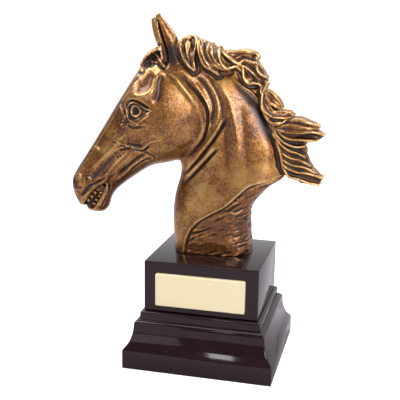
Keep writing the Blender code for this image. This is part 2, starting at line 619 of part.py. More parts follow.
def base_profile():
    """The moulding from its foot up, as distance in from the slab's face, and height."""
    step_in = BASE_PROJECTION - STEP_PROJECTION
    step_foot = BASE_HEIGHT - STEP_HEIGHT
    slope_foot = (SLAB_LEDGE, SLAB_HEIGHT + SLAB_LEDGE)
    slope_head = (step_in - SLOPE_ROUND, step_foot - SLOPE_ROUND)
    profile = arc((FOOT_ROUND, FOOT_ROUND), FOOT_ROUND, 270, 180, 3)
    profile += arc((SLAB_ROUND, SLAB_HEIGHT - SLAB_ROUND), SLAB_ROUND, 180, 135, 1)
    for step in range(6):
        t = step / 5
        hollow = 4 * SLOPE_HOLLOW * t * (1 - t)
        profile.append((slope_foot[0] + (slope_head[0] - slope_foot[0]) * t + hollow,
                        slope_foot[1] + (slope_head[1] - slope_foot[1]) * t))
    profile += arc((step_in, slope_head[1]), SLOPE_ROUND, 160, 90, 4)
    profile += arc((step_in + STEP_ROUND, BASE_HEIGHT - STEP_ROUND), STEP_ROUND, 180, 90, 4)
    return profile


def turned_box(name, width, depth, profile, radius):
    """A box with round corners whose sides follow a profile of (distance in, height)."""
    bm = bmesh.new()
    rings = [rounded_rectangle(width - 2 * t, depth - 2 * t, max(radius - t / 4, radius / 3), z)
             for t, z in profile]
    skin_rings(bm, np.array(rings))
    return smooth_shaded(mesh_of(bm, name), PLINTH_ARRIS)


def box_profile(height, edge):
    return arc((edge, edge), edge, 270, 180, 2) + arc((edge, height - edge), edge, 180, 90, 2)


# Finishes
def finish(name, colour, roughness, metallic, coat=0.0):
    material = bpy.data.materials.new(name)
    material.use_nodes = True
    shader = material.node_tree.nodes["Principled BSDF"]
    shader.inputs["Base Color"].default_value = (*colour, 1)
    shader.inputs["Roughness"].default_value = roughness
    shader.inputs["Metallic"].default_value = metallic
    shader.inputs["Coat Weight"].default_value = coat
    material.diffuse_color = (*colour, 1)
    return material


def dark_lacquer(name):
    return finish(name, (0.012, 0.006, 0.006), roughness=0.12, metallic=0.0, coat=1.0)


# The pieces, from the ground up
def build_base():
    width = BLOCK_WIDTH + 2 * BASE_PROJECTION
    depth = BLOCK_DEPTH + 2 * BASE_PROJECTION
    mesh = turned_box("moulded_base", width, depth, base_profile(), CORNER_ROUND)
    add_object("moulded_base", mesh, dark_lacquer("base lacquer"))


def build_block():
    mesh = turned_box("plinth_block", BLOCK_WIDTH, BLOCK_DEPTH, box_profile(BLOCK_HEIGHT, BLOCK_EDGE),
                      CORNER_ROUND)
    block = add_object("plinth_block", mesh, dark_lacquer("block lacquer"))
    block.location.z = BASE_HEIGHT + GLUE_GAP


def build_plate():
    """The plate is made lying down, face up, and stood against the block's front."""
    profile = [(0, 0), (0, PLATE_THICKNESS - PLATE_EDGE), (PLATE_EDGE, PLATE_THICKNESS)]
    mesh = turned_box("engraving_plate", PLATE_WIDTH, PLATE_HEIGHT, profile, PLATE_EDGE)
    plate = add_object("engraving_plate", mesh, finish("pale gold plate", (0.93, 0.76, 0.47), 0.22, 1.0))
    plate.rotation_euler.x = math.radians(90)
    block_middle = BASE_HEIGHT + GLUE_GAP + BLOCK_HEIGHT / 2
    plate.location = (0, -BLOCK_DEPTH / 2 - GLUE_GAP, block_middle - PLATE_DROP)


def build_bust():
    add_object("horse_head", bust_mesh(), finish("antique gold", (0.42, 0.24, 0.09), 0.35, 0.9))


for old in list(bpy.data.objects):
    bpy.data.objects.remove(old)
build_base()
build_block()
build_plate()
build_bust()
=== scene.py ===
"""Horse head trophy: the looks of a cast bust on a lacquered plinth with a blank plate, round its frame.

Metres, +Z up, origin on the ground under the middle of the plinth. The horse looks towards -X, and the
plate faces -Y.
"""
import math

import bmesh
import bpy
import numpy as np
from mathutils import Euler, Matrix, Vector, noise
from mathutils.bvhtree import BVHTree
from mathutils.kdtree import KDTree


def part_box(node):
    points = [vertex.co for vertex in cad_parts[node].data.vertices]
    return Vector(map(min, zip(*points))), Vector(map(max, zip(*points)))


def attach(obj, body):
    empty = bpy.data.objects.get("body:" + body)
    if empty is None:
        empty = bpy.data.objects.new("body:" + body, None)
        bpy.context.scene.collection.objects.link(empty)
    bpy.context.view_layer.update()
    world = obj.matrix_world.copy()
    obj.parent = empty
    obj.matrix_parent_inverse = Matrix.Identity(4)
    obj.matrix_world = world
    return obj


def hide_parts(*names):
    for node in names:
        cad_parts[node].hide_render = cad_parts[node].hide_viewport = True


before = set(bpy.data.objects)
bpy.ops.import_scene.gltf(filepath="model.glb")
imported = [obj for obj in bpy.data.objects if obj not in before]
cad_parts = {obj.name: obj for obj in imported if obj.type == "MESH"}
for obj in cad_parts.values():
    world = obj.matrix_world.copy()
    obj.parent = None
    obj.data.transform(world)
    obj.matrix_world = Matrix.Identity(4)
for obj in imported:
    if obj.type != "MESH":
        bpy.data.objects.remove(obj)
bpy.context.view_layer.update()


# Moulded base
# A slab of fibreboard with a moulding of ledge, hollow slope and step glued round it, mitred at the
# corners. It is sprayed with dark brown lacquer and polished, so every arris is a little rounded.
SLAB_HEIGHT = 0.0132
SLAB_LEDGE = 0.0032
SLAB_ROUND = 0.0010
FOOT_ROUND = 0.0006
SLOPE_HOLLOW = 0.0007
STEP_HEIGHT = 0.0056
STEP_PROJECTION = 0.0023
STEP_ROUND = 0.0017
BASE_PROJECTION = 0.0119
MITRE_ROUND = 0.0009

# The least step that an inset takes, where the moulding rises straight up, and how near two places are one.
THINNEST = 1e-7
CLOSE = 1e-6


def arc(centre, radius, start, end, steps):
    """Points on an arc of a profile, from one angle to another in degrees."""
    angles = [math.radians(start + (end - start) * step / steps) for step in range(steps + 1)]
    return [(centre[0] + radius * math.cos(a), centre[1] + radius * math.sin(a)) for a in angles]


def moulding_profile(height):
    """The moulding from its foot up, as distance in from the slab's face and height."""
    step_in = BASE_PROJECTION - STEP_PROJECTION
    step_foot = height - STEP_HEIGHT
    slope_foot = (SLAB_LEDGE, SLAB_HEIGHT + SLAB_LEDGE)
    slope_head = (step_in - 2 * STEP_ROUND, step_foot - 2 * STEP_ROUND)
    profile = [(0, 0), (0, SLAB_HEIGHT - SLAB_ROUND), (0.3 * SLAB_ROUND, SLAB_HEIGHT - 0.3 * SLAB_ROUND)]
    for step in range(13):
        t = step / 12
        hollow = 4 * SLOPE_HOLLOW * t * (1 - t)
        profile.append((slope_foot[0] + (slope_head[0] - slope_foot[0]) * t + hollow,
                        slope_foot[1] + (slope_head[1] - slope_foot[1]) * t))
    profile += arc((step_in, slope_head[1]), 2 * STEP_ROUND, 160, 90, 8)
    profile.append((step_in, step_foot + 0.25 * STEP_ROUND))
    return profile + arc((step_in + STEP_ROUND, height - STEP_ROUND), STEP_ROUND, 180, 90, 8)


def box_mesh(low, high):
    """A plain block between two corners."""
    bm = bmesh.new()
    bmesh.ops.create_cube(bm, size=1)
    bmesh.ops.scale(bm, verts=bm.verts, vec=high - low)
    bmesh.ops.translate(bm, verts=bm.verts, vec=(low + high) / 2)
    return bm


def extent(edge):
    """How far an edge runs along each axis."""
    return Vector([abs(part) for part in edge.verts[1].co - edge.verts[0].co])


def rounded(bm, edges, radius, segments):
    """Takes the edges off, round or as a flat bevel."""
    bmesh.ops.bevel(bm, geom=edges, offset=radius, offset_type="OFFSET", affect="EDGES", segments=segments,
                    profile=0.5, material=-1)


def finished(name, bm, node, sharp=30):
    """The piece's object, shaded smooth with crisp arrises, in the place of its node."""
    bmesh.ops.recalc_face_normals(bm, faces=bm.faces)
    mesh = bpy.data.meshes.new(name)
    bm.to_mesh(mesh)
    bm.free()
    mesh.shade_smooth()
    mesh.set_sharp_from_angle(angle=math.radians(sharp))
    piece = bpy.data.objects.new(name, mesh)
    bpy.context.scene.collection.objects.link(piece)
    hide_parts(node)
    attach(piece, "root")
    return piece


def linear(colour):
    """An sRGB hex colour as the linear numbers that a shader takes."""
    values = [int(colour[place:place + 2], 16) / 255 for place in (1, 3, 5)]
    return (*[v / 12.92 if v <= 0.04045 else ((v + 0.055) / 1.055) ** 2.4 for v in values], 1)


def add_node(tree, kind, inputs=(), **settings):
    """A shader node with its own settings. Its inputs, by name or in the node's order, are numbers or the
    sockets linked to them."""
    node = tree.nodes.new(kind)
    for key, value in settings.items():
        setattr(node, key, value)
    for key, value in inputs.items() if isinstance(inputs, dict) else enumerate(inputs):
        if isinstance(value, bpy.types.NodeSocket):
            tree.links.new(value, node.inputs[key])
        else:
            node.inputs[key].default_value = value
    return node


def new_material(name, **values):
    """A material with its Principled shader, whose sockets get the values named in plain words."""
    material = bpy.data.materials.new(name)
    material.use_nodes = True
    shader = material.node_tree.nodes["Principled BSDF"]
    for key, value in values.items():
        shader.inputs[key.replace("_", " ").title().replace("Ior", "IOR")].default_value = value
    return material, material.node_tree, shader


# Sizes in the lacquer: how far apart its brown drifts, and the waves of its orange peel.
DRIFT = 0.0167
PEEL_WAVE = 0.00303
PEEL_HEIGHT = 0.00002


def lacquer(name):
    """Nitrocellulose lacquer on fibreboard: nearly black brown, polished to a mirror, with orange peel."""
    material, tree, shader = new_material(name, roughness=0.09, ior=1.42, coat_weight=0.15,
                                          coat_roughness=0.03)
    place = add_node(tree, "ShaderNodeTexCoord").outputs["Object"]
    # The sprayed coats differ in thickness, so the brown drifts a little over about 17 mm.
    cloud = add_node(tree, "ShaderNodeTexNoise", {"Vector": place, "Scale": 1 / DRIFT, "Detail": 3.0})
    shade = add_node(tree, "ShaderNodeMix", {"Factor": cloud.outputs["Fac"], "A": linear("#1A0D10"),
                                             "B": linear("#2B181D")}, data_type="RGBA")
    tree.links.new(shade.outputs["Result"], shader.inputs["Base Color"])
    # Orange peel has waves about 3 mm apart and about a hundredth of a millimetre high.
    peel = add_node(tree, "ShaderNodeTexNoise", {"Vector": place, "Scale": 1 / PEEL_WAVE, "Detail": 1.0})
    bump = add_node(tree, "ShaderNodeBump", {"Height": peel.outputs["Fac"], "Distance": PEEL_HEIGHT,
                                             "Strength": 0.6})
    tree.links.new(bump.outputs["Normal"], shader.inputs["Normal"])
    return material


base_low, base_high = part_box("moulded_base")
profile = moulding_profile(base_high.z - base_low.z)
bm = bmesh.new()
bmesh.ops.create_grid(bm, x_segments=1, y_segments=1, size=0.5)
bmesh.ops.scale(bm, verts=bm.verts, vec=(base_high.x - base_low.x, base_high.y - base_low.y, 1))
bmesh.ops.translate(bm, verts=bm.verts, vec=((base_low.x + base_high.x) / 2, (base_low.y + base_high.y) / 2,
                                             base_low.z))
under = bmesh.ops.duplicate(bm, geom=bm.verts[:] + bm.edges[:] + bm.faces[:])["geom"]
bmesh.ops.reverse_faces(bm, faces=[item for item in under if isinstance(item, bmesh.types.BMFace)])
top = next(face for face in bm.faces if face.normal.z > 0)
for (inset, height), (next_inset, next_height) in zip(profile, profile[1:]):
    bmesh.ops.inset_region(bm, faces=[top], thickness=max(next_inset - inset, THINNEST),
                           depth=next_height - height, use_boundary=True, use_even_offset=True)
bmesh.ops.remove_doubles(bm, verts=bm.verts, dist=2 * THINNEST)
mitres = [edge for edge in bm.edges
          if abs(extent(edge).x - extent(edge).y) < CLOSE and len(edge.link_faces) == 2
          and all(abs(face.normal.z) < 0.999 for face in edge.link_faces)]
rounded(bm, mitres, MITRE_ROUND, 3)
foot = [edge for edge in bm.edges if all(vert.co.z < base_low.z + CLOSE for vert in edge.verts)]
rounded(bm, foot, FOOT_ROUND, 3)
base = finished("moulded_base_lacquered", bm, "moulded_base")
base.data.materials.append(lacquer("base lacquer"))


# Plinth block
# The upper block is fibreboard too, in the same lacquer, and stands on the moulding with a hairline joint.
BLOCK_EDGE = 0.0008

block_low, block_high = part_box("plinth_block")
bm = box_mesh(block_low, block_high)
rounded(bm, bm.edges[:], BLOCK_EDGE, 4)
block = finished("plinth_block_lacquered", bm, "plinth_block")
block.data.materials.append(lacquer("block lacquer"))


# Engraving plate
# A blank plate of pale gold anodised aluminium, die cut with rounded corners and a bevelled edge, and glued
# on the front of the block.
PLATE_BEVEL = 0.0005
PLATE_CORNER = 0.0009
BRUSH_PITCH = 0.00025
BRUSH_LENGTH = 0.0167

plate_low, plate_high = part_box("engraving_plate")
bm = box_mesh(plate_low, plate_high)
upright = [edge for edge in bm.edges if extent(edge).y > CLOSE]
rounded(bm, upright, PLATE_CORNER, 3)
front = [edge for edge in bm.edges if all(vert.co.y < plate_low.y + CLOSE for vert in edge.verts)]
rounded(bm, front, PLATE_BEVEL, 1)
plate = finished("engraving_plate_blank", bm, "engraving_plate", 20)

# Anodised aluminium, dyed pale gold: its satin layer of oxide scatters most of the light, so the eye sees
# warm cream with a soft gloss. The brush lines run along it, drawn 0.25 mm apart so that they show.
material, tree, shader = new_material("pale gold anodised aluminium", metallic=0.1)
shader.inputs["Base Color"].default_value = linear("#FFF2C6")
place = add_node(tree, "ShaderNodeTexCoord").outputs["Object"]
along = add_node(tree, "ShaderNodeMapping", {"Vector": place,
                                             "Scale": (1 / BRUSH_LENGTH, 1.0, 1 / BRUSH_PITCH)})
brushed = add_node(tree, "ShaderNodeTexNoise", {"Vector": along.outputs["Vector"], "Scale": 1.0,
                                                "Detail": 2.0})
satin = add_node(tree, "ShaderNodeMapRange", {"Value": brushed.outputs["Fac"], "From Min": 0.3,
                                              "From Max": 0.7, "To Min": 0.4, "To Max": 0.52})
tree.links.new(satin.outputs["Result"], shader.inputs["Roughness"])
plate.data.materials.append(material)


# Cast horse head
# One casting of filled resin from a rubber mould, glued on the block by its flat foot. Its hollows are
# stained dark, its high places brushed with gold and all of it is cleared with gloss.
HEAD_BACK = 0.004
GRID_HEIGHT = 157.5
GRID_FOOT = 72.5

# The head turns towards the plate's side, over this stretch of u.
TURN = math.radians(15)
TURN_FROM = 5.0
TURN_LENGTH = 50.0

# Fineness of the clay in grid units, from the masses to the last carving, and the triangles it keeps.
ROUGHING = 1.2
MODELLING = 0.75
FINISHING = 0.38
CAST_TRIANGLES = 190000

# The head from the poll to the lips: the face line (u, v), the jaw line (u, v), half the width, how
# square the section is and how much wider it is at the face line. u runs from the face to the mane, w
# away from the plate's side and v up, in millimetres at the real size.
HEAD = [
    (-18, 205, -2, 178, 15, 2.3, 0),
    (-34, 207, -3, 160, 19, 2.4, -0.02),
    (-46, 202, -9, 147, 21, 2.5, 0),
    (-53.6, 192.5, -20, 136.8, 22, 2.5, 0.02),
    (-60.6, 181.6, -31.5, 132.6, 21.5, 2.4, 0.04),
    (-67.8, 170, -43.5, 130, 18.8, 2.3, 0.02),
    (-75, 158, -53.5, 123.6, 16, 2.3, 0),
    (-82.2, 146, -61, 118.2, 13.8, 2.2, 0.02),
    (-89.2, 134.8, -67.8, 112.2, 12.8, 2.2, 0.08),
    (-95, 125.4, -70.8, 107, 12.8, 2.3, 0.16),
    (-97.6, 118.5, -72.4, 101, 12, 2.3, 0.22),
    (-96, 109.5, -76.8, 97, 10, 2.3, 0.15),
    (-93, 102.6, -83.5, 97.6, 6.5, 2.2, 0),
]

# The neck from the foot to the poll: the throat line, the crest line, then as above, with the last
# value for how much wider it is at the throat.
NECK = [
    (-26.5, 66, 28, 66, 18.6, 3, 0.05),
    (-27, 76, 28, 78, 18.8, 3, 0.05),
    (-28, 88, 27.2, 88, 18.8, 2.9, 0.05),
    (-28.3, 98, 26.6, 98, 18.4, 2.8, 0.05),
    (-27.6, 108, 29.5, 108, 17.8, 2.7, 0.04),
    (-25.6, 117, 38, 117.5, 17.2, 2.6, 0.04),
    (-23.6, 124, 48, 125.5, 16.6, 2.5, 0.06),
    (-23.4, 130, 47.5, 138, 16.4, 2.4, 0.08),
    (-23.8, 139, 44.5, 150, 16.2, 2.4, 0.10),
    (-24.5, 150, 38.5, 163, 15.8, 2.3, 0.12),
    (-26, 162, 32, 174, 15.2, 2.3, 0.12),
    (-28, 174, 24, 185, 14.6, 2.3, 0.12),
    (-30, 185, 14, 195, 13.8, 2.2, 0.10),
    (-31, 195, 3, 204, 12.8, 2.2, 0.06),
    (-29, 203, -9, 209, 10.5, 2.1, 0),
]

# The crest under the mane, from the poll down: u, v, and the radius across and upright.
CREST = [
    (-23, 209, 6, 6), (-13, 209.4, 7.5, 6.6), (1.5, 203.6, 7.5, 5.6), (11, 197.6, 7, 5.2),
    (20, 188, 6.6, 5), (29.5, 174.5, 6.2, 5), (37.5, 159.5, 5.8, 4.8), (44, 146, 5, 4.4),
    (47, 132, 4.4, 3.5),
]

# The nearer ear: height, then the front and back edges in u, half the thickness and w of its middle.
EAR = [
    (194, -33, -19, 5, -9), (202, -35, -20.3, 5.6, -10), (210, -37, -22.6, 5.2, -11),
    (217, -39, -26, 4.4, -12), (223, -40.1, -30.6, 3.2, -12.6), (228.4, -40.6, -35.2, 1.9, -13),
    (231.4, -40, -37.4, 0.9, -13),
]

# The hollow of each ear along its slit (u, w, v). The farther ear has the same form, moved and leaning over.
EAR_SLIT = [(-32.2, 14.6, 199), (-33.6, 15.5, 205), (-35.4, 15.9, 212), (-37.4, 15.6, 219),
            (-39, 14.2, 226)]
EAR_DEPTH = 4.2
FAR_EAR_PLACE = (-3, 0, 0)
FAR_EAR_LEAN = (-1.2, 0, -2.4)

# Locks that lie on the neck: their lines (u, v) from the crest to the tip, half the width and height.
LOCKS = [
    ([(-21, 216), (-20, 208), (-17.6, 201.5), (-12, 195)], 4.4, 3.6),
    ([(-11.5, 214), (-9.5, 206), (-5.8, 199.8), (0.5, 196.4), (4, 192.5)], 2.9, 3.6),
    ([(-4.8, 212), (-3.4, 205), (1.5, 199), (8.5, 195.4)], 2.7, 3.4),
    ([(0.5, 210), (1.6, 203.6), (6, 198.6), (11.6, 197.4), (16.6, 196.4)], 2.6, 3.3),
    ([(5, 207.6), (9.5, 203), (15.4, 199.6), (18.6, 195.4), (20.6, 190.6)], 2.9, 3.2),
    ([(9.5, 204.5), (16, 200), (21.8, 195.2), (26.4, 190.6), (30.4, 184.8)], 3, 3.2),
    ([(17, 197), (20.5, 191), (24.6, 187.9), (29, 187.4), (32.6, 181.4)], 2.4, 2.6),
]

# Locks that fly free behind the neck: their lines (u, v, w), half the width and height.
FREE_LOCKS = [
    ([(4, 206, -2), (11, 205, -2.5), (18, 206, -2), (25.6, 204.4, -1.5)], 3.5, 4),
    ([(18, 201, -3), (24.6, 199.4, -3), (29.8, 193, -2.5), (32.6, 187, -2.5)], 3, 4.4),
    ([(28, 185, -3.6), (32.6, 180.4, -3.8), (38, 176.6, -3.4), (43.4, 172.4, -3)], 2.7, 4.4),
    ([(31, 182.4, -7), (33, 174, -7.5), (38.6, 169, -7), (46, 168.2, -5), (51.4, 168.6, -3.5)],
     2.2, 4.2),
    ([(32, 175.4, -7.5), (35.6, 167.6, -8), (40.4, 163.8, -7), (47, 165.2, -5)], 2, 4.2),
    ([(35, 163.5, -4.4), (46, 164.5, -4), (57, 163.8, -3.2), (68, 160.8, -2.4)], 2.4, 4.2),
    ([(36.5, 160.5, -4.6), (47, 159.6, -4.2), (60, 158.4, -3.4), (72.4, 155.4, -2.4)], 2.6, 4.2),
    ([(37.5, 158, -4.8), (46.5, 154.4, -4.4), (57, 153, -3.6), (65, 153.4, -2.8), (70.6, 155, -2.4)],
     2.5, 4.2),
    ([(38.5, 156.5, -5), (45, 150.5, -4.6), (52, 148.4, -3.8), (58, 146.8, -3), (60.8, 143.4, -2.8)],
     2.5, 4.4),
    ([(40.5, 152.5, -5), (46.5, 145.4, -4.6), (53, 142.8, -3.8), (58.8, 141.4, -3), (62.4, 137.6, -2.8)],
     2.6, 4.4),
    ([(42, 147.5, -5), (47.5, 140.4, -4.6), (54, 137.8, -3.8), (61, 136.4, -2.8), (65.4, 132.6, -2.6)],
     2.6, 4.4),
    ([(43.5, 142.5, -5), (48.8, 136, -4.6), (57, 133.6, -3.8), (65, 131.2, -2.8), (70, 128, -2.6)],
     2.6, 4.4),
    ([(44.5, 138, -4.8), (50, 131.6, -4.4), (60, 129.4, -3.4), (72.6, 126.8, -2.4)], 2.7, 4.2),
    ([(45.5, 133, -4.4), (51.5, 127.8, -4), (61, 125.8, -3), (71.4, 124, -2.4)], 2.5, 4),
]

# The forelock between the ears, down to the top of the forehead.
FORELOCK = [
    ([(-30, 206, -3.5), (-38.5, 207, -5), (-44.6, 203.6, -6), (-49.6, 198, -6.5)], 1.7, 2),
    ([(-30, 207, 1), (-39.5, 207.8, 0), (-46.4, 203, -1.5), (-51.4, 196.2, -2.5)], 2, 2.2),
    ([(-30, 206, 6), (-38.5, 207, 6), (-45, 203, 5), (-50.4, 195.6, 4)], 2, 2.2),
]

# The sharp edges that the modelling tool left between the scooped hollows of the mane, with half the
# width and the height of each.
RIDGES = [
    ([(-22, 216), (-23.6, 212.7), (-23.4, 208.6), (-21.4, 203.8), (-17.9, 199.6), (-13, 195.2)], 0.9, 1.1),
    ([(-20, 217.2), (-16.2, 216.7), (-13.3, 214), (-13.7, 209.2), (-14.4, 203.5), (-12.4, 196)], 0.9, 1.1),
    ([(-12.2, 213.4), (-10.2, 207.2), (-6.8, 199.8), (-0.8, 196.2), (3.6, 192.8)], 0.9, 1.1),
    ([(-9.5, 210.4), (-6.6, 203.5), (-1.2, 196.9)], 0.6, 0.8),
    ([(-5.2, 211.6), (-3.9, 205.1), (0.9, 199.2), (7.6, 195.6)], 0.9, 1.1),
    ([(-2.3, 210.2), (-0.5, 203.6), (5.6, 197.9), (9.5, 195.3)], 0.6, 0.8),
    ([(2.7, 208), (4.2, 201.5), (8.1, 197.1), (11.2, 197.6), (14.3, 198.1), (17.2, 195.1)], 0.9, 1.1),
    ([(3.7, 207.3), (8.9, 203.8), (14.7, 200.2), (18.1, 197.4), (19.2, 191.4), (22.4, 187.7), (26.1, 188.1),
      (29.9, 186.3), (30.6, 182.4)], 0.9, 1.1),
    ([(7, 205), (13.1, 200.7), (18, 199), (23.4, 195.1), (28.3, 189.9), (30.4, 184.6)], 0.8, 1),
    ([(8, 207.8), (11.3, 207.2), (15.2, 208), (20, 208.5), (25.6, 206.8), (27.4, 204.5), (26.5, 202.2)],
     0.9, 0.9),
    ([(9.8, 203.5), (15, 200.5), (18.9, 202.2), (24.1, 201.2), (26.8, 200.9)], 0.8, 0.9),
    ([(26.4, 201.8), (27.8, 196.1), (30.5, 193.1), (34.4, 191.3)], 0.7, 0.8),
    ([(34.5, 189.4), (32.7, 184.9), (31.6, 182)], 0.7, 0.8),
    ([(32.8, 183.7), (36.7, 181.9), (40.7, 178.3), (44.5, 172.1)], 0.8, 0.9),
    ([(33.3, 182.1), (35.4, 177.1), (40.1, 173.5), (44, 171.7)], 0.7, 0.9),
    ([(32.2, 181.7), (31.9, 177.4), (33.1, 171.7), (37.5, 168), (42.5, 166.8), (48.8, 167), (52.4, 168.6)],
     0.8, 1.1),
    ([(33.7, 179.8), (35.9, 174.1), (39.7, 170.4), (45.9, 170.2), (50.3, 170)], 0.7, 1),
    ([(32.3, 174.8), (35.2, 167.4), (39.8, 162.5), (44.1, 163.2), (48.2, 165.7)], 0.8, 1),
    ([(51.1, 165.6), (56.1, 165.7), (61.1, 163.9), (67.3, 162), (69.3, 160.2)], 0.8, 0.8),
    ([(41.5, 159.7), (47.7, 161.8), (54, 161.4), (61.4, 160.2), (68.6, 159.8)], 0.7, 0.9),
    ([(39.8, 159.8), (46.8, 157.4), (55.6, 157.1), (64.8, 157.9), (72.9, 155.5)], 0.8, 1),
    ([(38.4, 161), (43.1, 156.8), (49.5, 153.1), (58.8, 152.6), (68.1, 152.2)], 0.8, 1),
    ([(38.4, 161), (41.9, 154.8), (47, 150.4), (54.6, 147.9), (60.7, 148.6)], 0.8, 1),
    ([(39.9, 155.9), (44.7, 149.1), (49.8, 145.4), (56, 143.4), (60.4, 141.4)], 0.8, 1),
    ([(42, 150.9), (45.5, 144), (51.3, 140.3), (57.5, 139), (63.9, 135.7)], 0.8, 1),
    ([(43.5, 146.5), (46.3, 139.5), (52.8, 135.8), (60.3, 134.6), (67.9, 130.8)], 0.8, 1),
    ([(44.3, 142.6), (47.8, 135), (55.5, 131.4), (63, 130.8), (73.2, 127.2)], 0.8, 1),
    ([(45.7, 136), (50.5, 128.5), (56.9, 126.7), (64.5, 124.2), (72.1, 122.3)], 0.8, 0.9),
    ([(-38.1, 209.2), (-37.5, 206.3), (-35.8, 203.1)], 0.5, 0.7),
    ([(-43.5, 206.3), (-40.8, 204.7), (-38.1, 201.8), (-35, 198.8)], 0.55, 0.8),
    ([(-44.6, 205), (-43.9, 202.7), (-43.9, 200.2)], 0.5, 0.7),
    ([(-46.5, 204), (-47.2, 201.4), (-48.7, 198.6)], 0.5, 0.7),
    ([(-41.5, 207.6), (-44.4, 205.6), (-47.6, 202), (-50, 198), (-51.2, 195)], 0.5, 0.7),
]

# The thin edge where the neck's skin meets the flying hair.
CREST_LINE = [(11.8, 191.9), (18.4, 185.9), (25, 181.1), (29.6, 175.1), (33.8, 166.4), (37.2, 160.8),
              (39.9, 154.6), (43.4, 147.1), (45.6, 140.2), (47.4, 128.6)]

